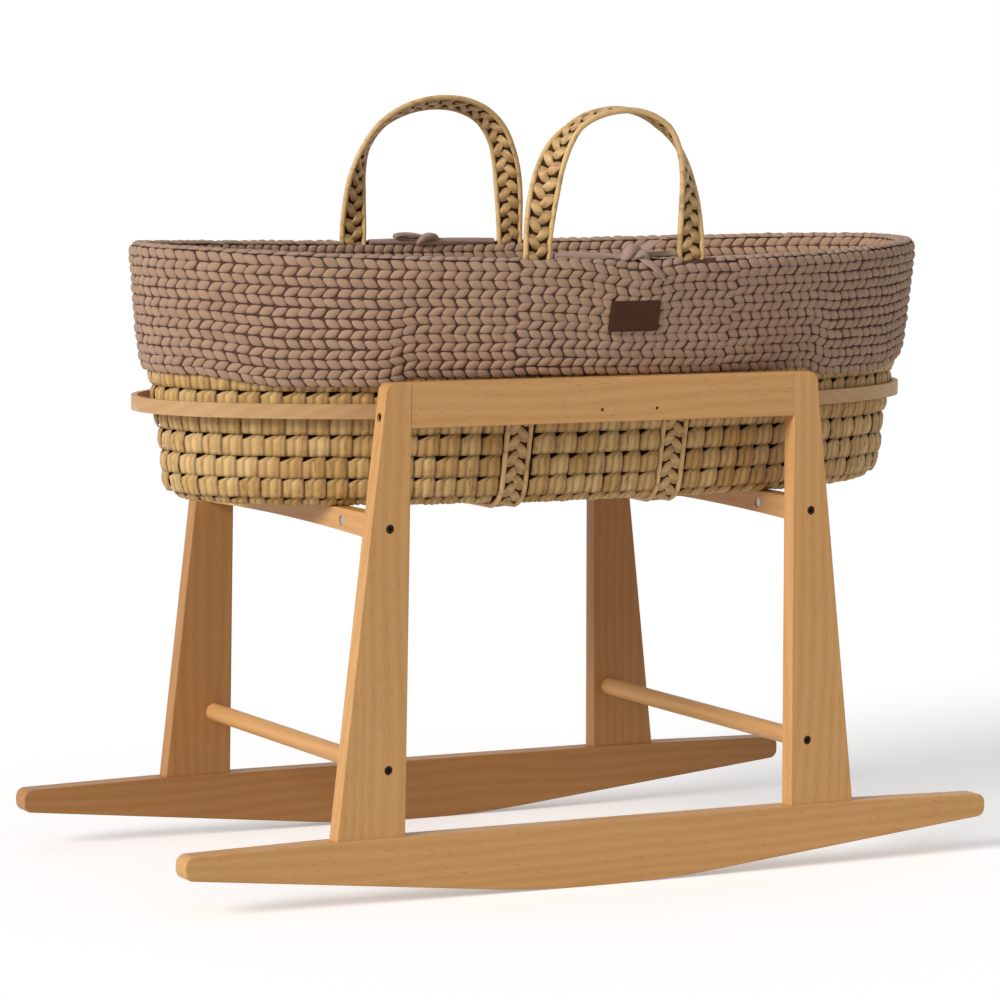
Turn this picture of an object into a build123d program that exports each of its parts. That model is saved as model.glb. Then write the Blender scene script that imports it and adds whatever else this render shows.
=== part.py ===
"""Moses basket on a rocking stand.

The stand is two upright frames, each a rocker, two tapered legs and a top rail. Two support
boards and two round dowels hold the frames apart, and a bent hoop inside the rails keeps the
basket from sliding off the boards. The woven basket lifts out, with its knitted cover, its
mattress and its two plaited handles. The stand takes its depth from the basket, which goes
down between its rails.

Millimetres, +Z up. +X runs along the basket and -Y is the front. The pieces are drawn from the
frames' middle, and each node is written from the origin, on the floor under the middle of the
whole, because the basket and its hoop sit a little to the right in the frames.
"""

import math
import os

from build123d import *

FRONT, BACK = -1, 1
LEFT, RIGHT = -1, 1

# Clearances
soft_gap = 0.3            # between woven, knitted or foam pieces and what they lie against
hole_gap = 0.05           # around a pin or a screw in its hole
bolt_gap = 0.25           # around a bolt in its hole
slot_gap = 2.0            # each side of a handle in its slot in the cover
cut_past = 1.0            # how far a cut runs past the face that it opens

# Basket
basket_x = 31.0           # the basket's middle, to the right of the frames' middle
basket_length = 840.0     # over the walls, where their taper would end
basket_width = 436.0
basket_taper = [          # height above the base, and how far each end and side is drawn in there
    (0.0, 39.0, 63.0),
    (6.0, 30.0, 55.0),
    (15.0, 25.0, 51.0),
    (60.0, 22.0, 42.0),
    (98.0, 15.0, 34.0),
    (160.0, 6.0, 18.0),
    (240.0, 0.0, 0.0),
]
wall_height = 225.0
wall_thickness = 12.0
base_thickness = 12.0
rim_height = 11.0
rim_bead = 1.0            # how far the rim stands out past the wall, on both sides

# Carrying straps, plaited in one with the handles
strap_width = 30.0
strap_thickness = 9.0
strap_sink = 6.0          # how deep a strap lies in the wall
strap_proud = 1.2
strap_under = 5.0         # how far the strap hangs below the base
handle_left = {FRONT: 19.5, BACK: 13.0}         # of each handle's middle from the basket's
handle_half_width = {FRONT: 84.0, BACK: 91.0}   # from its middle to each of its straps
handle_lean = {FRONT: 4.0, BACK: 9.0}           # of the arch's top to the right of the middle
handle_straight = 30.0    # height above the pivot where the legs begin to lean in
handle_shoulder = 78.0    # height above the pivot where the arch begins
handle_arch_inset = 14.0  # of the arch's ends from the straps
handle_arch_rise = 60.0
shoulder_turn = 60.0      # degrees that the strap has turned at the shoulder
square_turn_at = 25.0     # degrees of arch by which it has turned a full 90
arch_steps = 12
lean_steps = 4

# Knitted cover
hem_above_rail = 1.3      # from the rail's top to the skirt's hem
hem_height = 10.0         # of the part that the elastic draws in
hem_pull_in = 1.8         # how much the elastic draws the hem in
skirt_knit = 5.0
skirt_stand_off = 3.4     # between the wall and the inside of the skirt
skirt_top_rise = 8.0      # knit above the rim
skirt_top_round = [       # below the cover's top, and how far its edge is drawn in there
    (10.0, 0.0),
    (3.0, 2.5),
    (0.0, 7.0),
]
mouth_round = 4.0         # rounding of the cover's top edge on its inside
lip_depth = 7.0           # how far the cover's inner edge hangs below the rim
lining_knit = 4.0
slot_reach = 70.0         # of the slot's cut from front to back

# Ties, patch and mattress
tie_diameter = 7.0
tie_knot_diameter = 13.0
tie_tail_length = 30.0
tie_tail_lean = 60.0      # degrees of the tail from upright
patch_width = 54.0
patch_height = 30.0
patch_thickness = 1.8
patch_left = 3.0          # of the patch's middle from the basket's
patch_top = 198.0         # above the basket's base
mattress_height = 42.0
mattress_side_gap = 3.0
mattress_round = [        # share of the mattress's height, and how far its edge is drawn in there
    (0.0, 6.0),
    (0.12, 1.5),
    (0.3, 0.0),
    (0.7, 0.0),
    (0.86, 2.0),
    (0.95, 9.0),
    (0.985, 35.0),
    (1.0, 90.0),
]

# Frames
rail_to_wall = 5.11       # between a rail's inner face and the basket, at the rail's top
leg_thickness = 18.0
rocker_thickness = 24.0
rocker_length = 878.0
rocker_height = 62.5
rocker_flat = 40.0        # level stretch that the stand comes to rest on
rocker_roll_radius = 1000.0
rocker_slope = 5.8        # degrees, of the straight lower edge beyond the roll
rocker_tip_round = 9.0
rocker_tip_drop = 3.0     # fall of the upper edge from the legs to the tips
rail_top = 492.5
rail_height = 43.0
leg_spacing_top = 416.0   # between the two legs of a frame, at the top
leg_foot_spread = 8.0     # how much further apart the legs stand at their feet
leg_width_top = 26.5
leg_width_foot = 71.6
leg_top_round = 9.0
leg_to_fall = 8.0         # from a leg's foot to where the rocker's upper edge begins to fall
rocker_edge_round = 1.5
wood_edge_round = 1.2
long_edge = 50.0          # an edge longer than this runs along a rocker or a leg

# Support boards and dowels
bolt_inset = 22.1         # of the bolts from the leg's inner edge at its top
board_thickness = 18.0
board_height = 24.0
board_below_rail = 125.0  # from the rail's top down to the board's
board_arch = 4.0          # rise of the board's lower edge in the middle
dowel_diameter = 18.0
dowel_height = 126.9
dowel_seat = 4.0          # how far a dowel enters the leg

# Fasteners
bolt_diameter = 5.0
bolt_head_diameter = 8.5
bolt_head_height = 5.0
bolt_head_depth = 1.0     # of the head's face below the wood
rail_head_depth = 2.0     # the same where the leg's edge slopes
nut_diameter = 10.0
nut_length = 16.0
upper_nut_reach = 71.0    # from the leg's inner face to the barrel nut
bolt_tail = 7.0           # bolt beyond the middle of its nut
insert_diameter = 9.0
insert_length = 15.0
insert_room = 2.0         # bored past the insert
rail_bolt_above_rail = 10.5   # height of the rail bolt above the rail's lower edge
rail_nut_reach = 35.0
rail_nut_length = 13.0
hex_socket = 4.0          # across flats
hex_socket_depth = 2.5
pin_diameter = 8.0
pin_length = 40.0
leg_pin_inset = 19.0      # from the leg's edges to its pins
rail_pin_below_top = 12.0

# Bent hoop
hoop_left = 6.0           # of the hoop's middle from the basket's
hoop_to_wall = 9.6        # room past each end of the basket, were the two in line
hoop_strip = 6.0
hoop_height = 14.0
hoop_above_rail = 5.0     # from the rail's lower edge to the hoop's
hoop_screw_spacing = 60.0
screw_diameter = 3.5
screw_head_diameter = 7.0
screw_length = 18.0

# The whole
origin_x = 10.0           # the origin lies this far to the right of the frames' middle


def wall_size(height):
    """Outside half length and half width of the basket at a height above its base."""
    for (z0, end0, side0), (z1, end1, side1) in zip(basket_taper, basket_taper[1:]):
        if height <= z1:
            break
    share = (height - z0) / (z1 - z0)
    end = end0 + share * (end1 - end0)
    side = side0 + share * (side1 - side0)
    return basket_length / 2 - end, basket_width / 2 - side


# Worked-out places
hoop_x = basket_x - hoop_left
patch_x = basket_x - patch_left
rail_bottom = rail_top - rail_height
board_top = rail_top - board_below_rail
board_middle = board_top - board_height / 2
basket_base_z = board_top + soft_gap
rail_on_wall = rail_top - basket_base_z
inner_face = wall_size(rail_on_wall)[1] + rail_to_wall
outer_face = inner_face + leg_thickness
frame_y = inner_face + leg_thickness / 2
bolt_x = leg_spacing_top / 2 + bolt_inset
foot_half = (leg_spacing_top + leg_foot_spread) / 2
rim_z = basket_base_z + wall_height + soft_gap
rim_top = rim_z + rim_height
pivot_z = rim_top + soft_gap + strap_thickness / 2
hoop_z = rail_bottom + hoop_above_rail
hoop_on_wall = hoop_z + hoop_height - basket_base_z
hoop_half_length = wall_size(hoop_on_wall)[0] + hoop_to_wall + hoop_strip
hoop_half_width = inner_face - hole_gap


def export_node(name, solids):
    """Write one node: a solid, or a group of separate solids."""
    group = solids if isinstance(solids, list) else [solids]
    pieces = [solid for item in group for solid in item.solids()]
    shape = pieces[0] if len(pieces) == 1 else Compound(children=pieces)
    export_step(Pos(-origin_x, 0, 0) * shape, f"parts/{name}.step")


def rod_y(diameter, x, z, y_from, y_to):
    """A round rod along Y."""
    length = abs(y_to - y_from)
    middle = (y_from + y_to) / 2
    return Pos(x, middle, z) * Rot(90, 0, 0) * Cylinder(diameter / 2, length)


def rod_x(diameter, y, z, x_from, x_to):
    """A round rod along X."""
    length = abs(x_to - x_from)
    middle = (x_from + x_to) / 2
    return Pos(middle, y, z) * Rot(0, 90, 0) * Cylinder(diameter / 2, length)


def rod_z(diameter, x, y, z_from, z_to):
    """A round rod along Z."""
    return Pos(x, y, (z_from + z_to) / 2) * Cylinder(diameter / 2, abs(z_to - z_from))


def hex_cut():
    """The hexagonal socket of a bolt's head, both ways from the head's face."""
    outline = RegularPolygon(hex_socket / 2, 6, major_radius=False)
    return extrude(outline, amount=hex_socket_depth, both=True)


def plate(outline, y_from, thickness):
    """A plate with its outline in XZ, from y_from towards the back."""
    face = make_face(outline)
    return Pos(0, y_from, 0) * extrude(face, amount=thickness, dir=(0, 1, 0))


# Places of the fasteners, shared by each fastener and its holes

def leg_edges(z):
    """Inner and outer distance of a leg's edges from the frame's middle, at a height."""
    share = (rail_top - z) / (rail_top - rocker_height)
    inner = leg_spacing_top / 2 + share * leg_foot_spread / 2
    width = leg_width_top + share * (leg_width_foot - leg_width_top)
    return inner, inner + width


def frame_bolt(side, face, z, y_tip):
    """A bolt driven along Y through a leg."""
    head_face = face * (outer_face - bolt_head_depth)
    head_seat = head_face - face * bolt_head_height
    shank = rod_y(bolt_diameter, side * bolt_x, z, head_seat, face * y_tip)
    head = rod_y(bolt_head_diameter, side * bolt_x, z, head_face, head_seat)
    socket = Pos(side * bolt_x, head_face, z) * Rot(90, 0, 0) * hex_cut()
    return shank + head - socket


def frame_bolt_hole(side, face, z, y_tip):
    """Room for the bolt: a clearance hole and a counterbore for its head."""
    outside = face * (outer_face + cut_past)
    head_seat = face * (outer_face - bolt_head_depth - bolt_head_height)
    hole = rod_y(bolt_diameter + 2 * bolt_gap, side * bolt_x, z, outside, face * y_tip)
    counterbore = rod_y(bolt_head_diameter + 2 * bolt_gap, side * bolt_x, z, outside, head_seat)
    return hole + counterbore


upper_nut_y = inner_face - upper_nut_reach
upper_tip_y = upper_nut_y - bolt_tail
lower_tip_y = inner_face + dowel_seat - insert_length
rail_bolt_z = rail_bottom + rail_bolt_above_rail
rail_pin_z = rail_top - rail_pin_below_top
rail_nut_x = leg_spacing_top / 2 - rail_nut_reach
rail_tip_x = rail_nut_x - bolt_tail
rail_head_x = leg_edges(rail_bolt_z)[1] - rail_head_depth
rail_head_seat = rail_head_x - bolt_head_height
leg_pin_xs = [foot_half + leg_pin_inset, foot_half + leg_width_foot - leg_pin_inset]


def rail_bolt(side, face):
    """A bolt along X from the leg's outer edge into the rail."""
    y = face * frame_y
    shank = rod_x(bolt_diameter, y, rail_bolt_z, side * rail_head_seat, side * rail_tip_x)
    head = rod_x(bolt_head_diameter, y, rail_bolt_z, side * rail_head_x, side * rail_head_seat)
    socket = Pos(side * rail_head_x, y, rail_bolt_z) * Rot(0, 90, 0) * hex_cut()
    return shank + head - socket


def rail_bolt_hole(side, face):
    """Room for the rail's bolt in the leg and in the rail."""
    y = face * frame_y
    outside = rail_head_x + rail_head_depth + bolt_head_height
    hole = rod_x(bolt_diameter + 2 * bolt_gap, y, rail_bolt_z, side * outside, side * rail_tip_x)
    counterbore = rod_x(bolt_head_diameter + 2 * bolt_gap, y, rail_bolt_z,
                        side * outside, side * rail_head_seat)
    return hole + counterbore


def wood_pin_x(side, face, grow=0.0):
    """A wooden pin along X between a leg and a rail."""
    middle = side * leg_spacing_top / 2
    reach = pin_length / 2 + grow
    return rod_x(pin_diameter + 2 * grow, face * frame_y, rail_pin_z,
                 middle - reach, middle + reach)


def wood_pin_z(side, face, distance, grow=0.0):
    """A wooden pin along Z between a leg and its rocker."""
    reach = pin_length / 2 + grow
    return rod_z(pin_diameter + 2 * grow, side * distance, face * frame_y,
                 rocker_height - reach, rocker_height + reach)


# Stand

def make_rocker(face):
    """A long plate, level on top, that rolls on its lower edge."""
    half = rocker_length / 2
    slope = math.radians(rocker_slope)
    flat = rocker_flat / 2
    roll_x = flat + rocker_roll_radius * math.sin(slope)
    roll_z = rocker_roll_radius * (1 - math.cos(slope))
    mid_x = flat + rocker_roll_radius * math.sin(slope / 2)
    mid_z = rocker_roll_radius * (1 - math.cos(slope / 2))
    tip_z = roll_z + (half - roll_x) * math.tan(slope)
    tip_top = rocker_height - rocker_tip_drop
    seat_end = foot_half + leg_width_foot + leg_to_fall
    outline = (
        Line((-flat, 0, 0), (flat, 0, 0))
        + ThreePointArc((flat, 0, 0), (mid_x, 0, mid_z), (roll_x, 0, roll_z))
        + Line((roll_x, 0, roll_z), (half, 0, tip_z))
        + Line((half, 0, tip_z), (half, 0, tip_top))
        + Line((half, 0, tip_top), (seat_end, 0, rocker_height))
        + Line((seat_end, 0, rocker_height), (-seat_end, 0, rocker_height))
        + Line((-seat_end, 0, rocker_height), (-half, 0, tip_top))
        + Line((-half, 0, tip_top), (-half, 0, tip_z))
        + Line((-half, 0, tip_z), (-roll_x, 0, roll_z))
        + ThreePointArc((-roll_x, 0, roll_z), (-mid_x, 0, mid_z), (-flat, 0, 0))
    )
    rocker = plate(outline, face * frame_y - rocker_thickness / 2, rocker_thickness)
    tips = [edge for edge in rocker.edges().filter_by(Axis.Y)
            if abs(edge.center().X) > half - cut_past]
    rocker = fillet(tips, rocker_tip_round)
    top_edges = [edge for edge in rocker.edges()
                 if edge.length > long_edge and edge.center().Z > tip_top]
    rocker = fillet(top_edges, rocker_edge_round)
    for side in (LEFT, RIGHT):
        for distance in leg_pin_xs:
            rocker -= wood_pin_z(side, face, distance, hole_gap)
    return rocker


def make_leg(side, face):
    """A leg, upright on its inner edge and tapered on its outer one."""
    top_in, top_out = leg_edges(rail_top)
    foot_in, foot_out = leg_edges(rocker_height)
    outline = Polyline(
        (side * top_in, 0, rail_top),
        (side * top_out, 0, rail_top),
        (side * foot_out, 0, rocker_height),
        (side * foot_in, 0, rocker_height),
        (side * top_in, 0, rail_top),
    )
    leg = plate(outline, face * frame_y - leg_thickness / 2, leg_thickness)
    corner = [edge for edge in leg.edges().filter_by(Axis.Y)
              if edge.center().Z > rail_top - cut_past
              and abs(edge.center().X) > top_out - cut_past]
    leg = fillet(corner, leg_top_round)
    long_edges = [edge for edge in leg.edges()
                  if edge.length > leg_width_foot + long_edge]
    leg = fillet(long_edges, wood_edge_round)
    leg -= frame_bolt_hole(side, face, board_middle, inner_face - cut_past)
    leg -= frame_bolt_hole(side, face, dowel_height, inner_face - cut_past)
    leg -= rod_y(dowel_diameter + 2 * hole_gap, side * bolt_x, dowel_height,
                 face * (inner_face + dowel_seat), face * (inner_face - cut_past))
    leg -= rail_bolt_hole(side, face)
    leg -= wood_pin_x(side, face, hole_gap)
    for distance in leg_pin_xs:
        leg -= wood_pin_z(side, face, distance, hole_gap)
    return leg


def make_rail(face):
    """The bare board between the tops of two legs."""
    low_half = leg_edges(rail_bottom)[0]
    top_half = leg_edges(rail_top)[0]
    outline = Polyline(
        (-top_half, 0, rail_top),
        (top_half, 0, rail_top),
        (low_half, 0, rail_bottom),
        (-low_half, 0, rail_bottom),
        (-top_half, 0, rail_top),
    )
    rail = plate(outline, face * frame_y - leg_thickness / 2, leg_thickness)
    rail = fillet(rail.edges().filter_by(Axis.X), wood_edge_round)
    nut_room = rod_y(nut_diameter + 2 * hole_gap, 0, rail_bolt_z, face * (inner_face - cut_past),
                     face * (inner_face + rail_nut_length + hole_gap))
    for side in (LEFT, RIGHT):
        rail -= rail_bolt_hole(side, face)
        rail -= wood_pin_x(side, face, hole_gap)
        rail -= Pos(side * rail_nut_x, 0, 0) * nut_room
    for x in hoop_screw_xs:
        rail -= rod_y(screw_diameter + 2 * hole_gap, x, hoop_screw_z,
                      face * (inner_face - cut_past), face * (inner_face + screw_length))
    return rail


def make_board(side):
    """A board from frame to frame that the basket stands on, arched underneath."""
    bottom = board_top - board_height
    outline = (
        Line((0, -inner_face, board_top), (0, inner_face, board_top))
        + Line((0, inner_face, board_top), (0, inner_face, bottom))
        + ThreePointArc((0, inner_face, bottom), (0, 0, bottom + board_arch),
                        (0, -inner_face, bottom))
        + Line((0, -inner_face, bottom), (0, -inner_face, board_top))
    )
    start = side * bolt_x - board_thickness / 2
    board = Pos(start, 0, 0) * extrude(make_face(outline), amount=board_thickness, dir=(1, 0, 0))
    board = fillet(board.edges().filter_by(Axis.Y), wood_edge_round)
    for face in (FRONT, BACK):
        board -= frame_bolt_hole(side, face, board_middle, upper_tip_y - cut_past)
        board -= rod_x(nut_diameter + 2 * hole_gap, face * upper_nut_y, board_middle,
                       start - cut_past, start + board_thickness + cut_past)
    return board


def make_dowel(side):
    """A round stretcher, bored at each end for a threaded insert."""
    end = inner_face + dowel_seat
    dowel = rod_y(dowel_diameter, side * bolt_x, dowel_height, -end, end)
    for face in (FRONT, BACK):
        dowel -= rod_y(insert_diameter + 2 * hole_gap, side * bolt_x, dowel_height,
                       face * (end + cut_past), face * (end - insert_length - insert_room))
    return dowel


def make_barrel_nut(side, face):
    """The cross nut of a support board, with its threaded hole."""
    middle = side * bolt_x
    nut = rod_x(nut_diameter, face * upper_nut_y, board_middle,
                middle - nut_length / 2, middle + nut_length / 2)
    return nut - rod_y(bolt_diameter + 2 * hole_gap, middle, board_middle,
                       face * (upper_nut_y + nut_diameter), face * (upper_nut_y - nut_diameter))


def make_rail_nut(side, face):
    """The cross nut of a rail, let in from the rail's inner face."""
    nut = rod_y(nut_diameter, side * rail_nut_x, rail_bolt_z,
                face * inner_face, face * (inner_face + rail_nut_length))
    return nut - rod_x(bolt_diameter + 2 * hole_gap, face * frame_y, rail_bolt_z,
                       side * (rail_nut_x + nut_diameter), side * (rail_nut_x - nut_diameter))


def make_insert(side, face):
    """The threaded insert in a dowel's end."""
    end = inner_face + dowel_seat
    tip = end - insert_length
    sleeve = rod_y(insert_diameter, side * bolt_x, dowel_height, face * end, face * tip)
    return sleeve - rod_y(bolt_diameter + 2 * hole_gap, side * bolt_x, dowel_height,
                          face * (end + cut_past), face * (tip - cut_past))


hoop_screw_xs = [hoop_x - hoop_screw_spacing / 2, hoop_x + hoop_screw_spacing / 2]
hoop_screw_z = hoop_z + hoop_height / 2


def hoop_inner_y(x):
    """Half width of the hoop's inside at a place along it."""
    share = (x - hoop_x) / (hoop_half_length - hoop_strip)
    return (hoop_half_width - hoop_strip) * math.sqrt(1 - share ** 2)


def make_hoop_screw(x, face, grow=0.0):
    """A countersunk wood screw from inside the hoop into the rail."""
    start = hoop_inner_y(x)
    head_height = (screw_head_diameter - screw_diameter) / 2
    head = Cone(screw_head_diameter / 2 + grow, screw_diameter / 2 + grow, head_height)
    turn = Rot(-90, 0, 0) if face == BACK else Rot(90, 0, 0)
    head = Pos(x, face * (start + head_height / 2), hoop_screw_z) * turn * head
    shank = rod_y(screw_diameter + 2 * grow, x, hoop_screw_z,
                  face * (start + head_height), face * (start + screw_length + grow))
    return head + shank


def make_hoop():
    """The bent strip around the basket, fixed inside both rails."""
    outside = Ellipse(hoop_half_length, hoop_half_width)
    inside = Ellipse(hoop_half_length - hoop_strip, hoop_half_width - hoop_strip)
    hoop = Pos(hoop_x, 0, hoop_z) * extrude(outside - inside, amount=hoop_height)
    for x in hoop_screw_xs:
        for face in (FRONT, BACK):
            hoop -= make_hoop_screw(x, face, hole_gap)
            hoop -= rod_y(screw_head_diameter + 2 * hole_gap, x, hoop_screw_z,
                          face * (hoop_inner_y(x) - cut_past), face * hoop_inner_y(x))
    return hoop


# Basket

def oval_body(steps):
    """A tapered oval body through (height above base, growth past the wall) steps."""
    heights = {height for height, _ in steps}
    low, high = min(heights), max(heights)
    heights |= {z for z, _, _ in basket_taper if low < z < high}
    sections = []
    for height in sorted(heights):
        for (z0, grow0), (z1, grow1) in zip(steps, steps[1:]):
            if height <= z1:
                break
        grow = grow0 + (height - z0) / (z1 - z0) * (grow1 - grow0)
        length, width = wall_size(height)
        spot = Pos(basket_x, 0, basket_base_z + height)
        sections.append(spot * Ellipse(length + grow, width + grow))
    return loft(sections, ruled=True)


def oval_ring(low, high, inner, outer):
    """A ring that follows the wall between two heights, from growth inner to growth outer."""
    shell = oval_body([(low, outer), (high, outer)])
    return shell - oval_body([(low - cut_past, inner), (high + cut_past, inner)])


def handle_x(face):
    """The middle of a handle, halfway between its two straps."""
    return basket_x - handle_left[face]


def strap_x(side, face):
    """The middle of a strap where it passes the rim."""
    return handle_x(face) + side * handle_half_width[face]


def pivot_y(face):
    """A handle's pivot, over the middle of the wall where its two straps pass the rim."""
    length, width = wall_size(wall_height)
    half_widths = [(width - wall_thickness / 2)
                   * math.sqrt(1 - ((strap_x(side, face) - basket_x) / length) ** 2)
                   for side in (LEFT, RIGHT)]
    return face * sum(half_widths) / 2


def strap_zone(side, grow):
    """The upright slab that a carrying strap lies in, from its front end to its back end."""
    width = strap_width + 2 * grow
    depth = basket_width + 2 * strap_width
    height = 2 * wall_height
    across = strap_x(side, BACK) - strap_x(side, FRONT)
    skew = math.degrees(math.atan2(across, pivot_y(BACK) - pivot_y(FRONT)))
    middle = (strap_x(side, BACK) + strap_x(side, FRONT)) / 2
    spot = Pos(middle, 0, basket_base_z + wall_height / 2) * Rot(0, 0, -skew)
    return spot * Box(width, depth, height)


def make_walls():
    """The woven wall, with the straps' channels in its outside."""
    walls = oval_ring(0, wall_height, -wall_thickness, 0)
    channel = oval_ring(0, wall_height, -strap_sink - soft_gap, strap_proud)
    for side in (LEFT, RIGHT):
        walls -= channel & strap_zone(side, soft_gap)
    return walls


def make_base():
    """The woven oval floor inside the wall."""
    grow = -wall_thickness - soft_gap
    return oval_body([(0, grow), (base_thickness, grow)])


def make_rim():
    """The rolled edge on top of the wall."""
    low = wall_height + soft_gap
    return oval_ring(low, low + rim_height, -wall_thickness - rim_bead, rim_bead)


def make_strap(side):
    """A carrying strap: up both sides of the wall and under the base."""
    outside = oval_body([(-strap_under, strap_proud), (wall_height, strap_proud)])
    inside = oval_body([(-soft_gap, -strap_sink), (wall_height + cut_past, -strap_sink)])
    return (outside - inside) & strap_zone(side, 0)


# Knitted cover, at heights above the basket's base
skirt_hem = rail_on_wall + hem_above_rail
skirt_inner = skirt_stand_off
skirt_outer = skirt_stand_off + skirt_knit
rim_on_wall = rim_top - basket_base_z
cover_top = rim_on_wall + skirt_top_rise
lip_low = rim_on_wall - lip_depth
lining_outer = -wall_thickness - rim_bead - soft_gap
lining_inner = lining_outer - lining_knit


def handle_slot(side, face):
    """The gap in the cover's edge that a handle comes out of."""
    width = strap_width + 2 * slot_gap
    low = rim_top - lip_depth - cut_past
    high = rim_top + skirt_top_rise + cut_past
    spot = Pos(strap_x(side, face), pivot_y(face), (low + high) / 2)
    return spot * Box(width, slot_reach, high - low)


def make_skirt():
    """The knitted skirt, over the rim and drawn in at its hem."""
    hem = [(skirt_hem, skirt_outer - hem_pull_in), (skirt_hem + hem_height, skirt_outer)]
    top = [(cover_top - below, skirt_outer - drawn_in) for below, drawn_in in skirt_top_round]
    room_top = rim_on_wall + soft_gap
    room = oval_body([
        (skirt_hem - cut_past, skirt_inner - hem_pull_in),
        (skirt_hem + hem_height, skirt_inner),
        (room_top, skirt_inner),
    ])
    lip = oval_body([(lip_low, lining_outer), (room_top, lining_outer)])
    mouth = oval_body([
        (skirt_hem - cut_past, lining_inner),
        (cover_top - mouth_round, lining_inner),
        (cover_top + cut_past, lining_inner + mouth_round),
    ])
    skirt = oval_body(hem + top) - (room - lip) - mouth
    for side in (LEFT, RIGHT):
        for face in (FRONT, BACK):
            skirt -= handle_slot(side, face)
    return skirt


def make_lining():
    """The knitted lining of the wall's inside."""
    return oval_ring(base_thickness + soft_gap, lip_low - soft_gap, lining_inner, lining_outer)


# Handles

def handle_section(face, x, z, along, turn):
    """A strap section in the arch's plane: along is the path's angle, turn the strap's twist."""
    tangent = Vector(math.cos(along), 0, math.sin(along))
    outward = Vector(-math.sin(along), 0, math.cos(along))
    across = outward * math.cos(turn) - Vector(0, face, 0) * math.sin(turn)
    lean = handle_lean[face] * (z - handle_straight) / (handle_shoulder + handle_arch_rise
                                                        - handle_straight)
    plane = Plane(origin=(x + max(0.0, lean), 0, z), x_dir=across, z_dir=tangent)
    return plane * Rectangle(strap_width, strap_thickness)


def handle_stations(half_width):
    """Places, path angles and twists of the strap from one foot to the top of the arch."""
    arch_half = half_width - handle_arch_inset
    lean_up = handle_shoulder - handle_straight
    lean_angle = math.atan2(lean_up, handle_arch_inset)
    stations = [(-half_width, 0.0, math.pi / 2, 0.0)]
    for step in range(lean_steps):
        share = step / lean_steps
        along = lean_angle if step else (lean_angle + math.pi / 2) / 2
        stations.append((-half_width + share * handle_arch_inset,
                         handle_straight + share * lean_up,
                         along, math.radians(share * shoulder_turn)))
    for step in range(arch_steps // 2 + 1):
        swept = step * math.pi / arch_steps
        x = -arch_half * math.cos(swept)
        z = handle_shoulder + handle_arch_rise * math.sin(swept)
        along = math.atan2(handle_arch_rise * math.cos(swept), arch_half * math.sin(swept))
        share = min(1.0, math.degrees(swept) / square_turn_at)
        turn = math.radians(shoulder_turn + share * (90 - shoulder_turn))
        stations.append((x, z, along, turn))
    return stations


def make_handle(face):
    """A plaited handle: two flat legs that turn square into an arch."""
    half_width = handle_half_width[face]
    half = handle_stations(half_width)
    other_half = [(-x, z, -along, turn) for x, z, along, turn in reversed(half[:-1])]
    sections = [handle_section(face, *station) for station in half + other_half]
    loop = loft(sections, ruled=True)
    for side in (LEFT, RIGHT):
        loop += rod_x(strap_thickness, 0, 0, side * half_width - strap_width / 2,
                      side * half_width + strap_width / 2)
    return Pos(handle_x(face), pivot_y(face), pivot_z) * loop


# Ties, patch and mattress

def cover_y(x, height, grow):
    """Distance from the middle plane to a face of the cover, at a place along it."""
    length, width = wall_size(height)
    share = (x - basket_x) / (length + grow)
    return (width + grow) * math.sqrt(1 - share ** 2)


def make_tie(face):
    """The fabric tie that closes the cover between a handle's straps, flat underneath."""
    middle_z = rim_top + skirt_top_rise + soft_gap + tie_diameter / 2
    y = pivot_y(face)
    left = strap_x(LEFT, face) + strap_width / 2 + slot_gap
    right = strap_x(RIGHT, face) - strap_width / 2 - slot_gap
    knot_place = Pos((left + right) / 2, y, middle_z)
    bar = rod_x(tie_diameter, y, middle_z, left, right)
    knot = knot_place * Sphere(tie_knot_diameter / 2)
    tail = knot_place * Rot(0, tie_tail_lean, 0) * Pos(0, 0, tie_tail_length / 2) * Cylinder(
        tie_diameter / 2, tie_tail_length)
    depth = tie_knot_diameter
    below = knot_place * Pos(0, 0, -tie_diameter / 2 - depth / 2) * Box(
        right - left + 2 * cut_past, 2 * depth, depth)
    return (bar + knot + tail) - below


def make_patch():
    """The bare leather patch on the front of the skirt."""
    low = patch_top - patch_height
    grow = skirt_outer + soft_gap
    shell = oval_ring(low, patch_top, grow, grow + patch_thickness)
    window = Pos(patch_x, -cover_y(patch_x, low, grow), basket_base_z + patch_top) * Box(
        patch_width, basket_width / 2, 3 * patch_height)
    return shell & window


def make_mattress():
    """The foam mattress, crowned on top and rounded at its edges."""
    low = base_thickness + soft_gap
    grow = lining_inner - mattress_side_gap
    length, width = wall_size(low)
    sections = []
    for share, drawn_in in mattress_round:
        z = basket_base_z + low + share * mattress_height
        outline = Ellipse(length + grow - drawn_in, width + grow - drawn_in)
        sections.append(Pos(basket_x, 0, z) * outline)
    return loft(sections, ruled=True)


os.makedirs("parts", exist_ok=True)

face_names = {FRONT: "front", BACK: "back"}
side_names = {LEFT: "left", RIGHT: "right"}
corners = [(side, face) for side in (LEFT, RIGHT) for face in (FRONT, BACK)]

for face, face_name in face_names.items():
    export_node(f"rocker_{face_name}", make_rocker(face))
    export_node(f"top_rail_{face_name}", make_rail(face))
    export_node(f"handle_{face_name}", make_handle(face))
    export_node(f"cover_tie_{face_name}", make_tie(face))
    for side, side_name in side_names.items():
        export_node(f"leg_{face_name}_{side_name}", make_leg(side, face))

for side, side_name in side_names.items():
    export_node(f"support_board_{side_name}", make_board(side))
    export_node(f"dowel_{side_name}", make_dowel(side))

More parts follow.
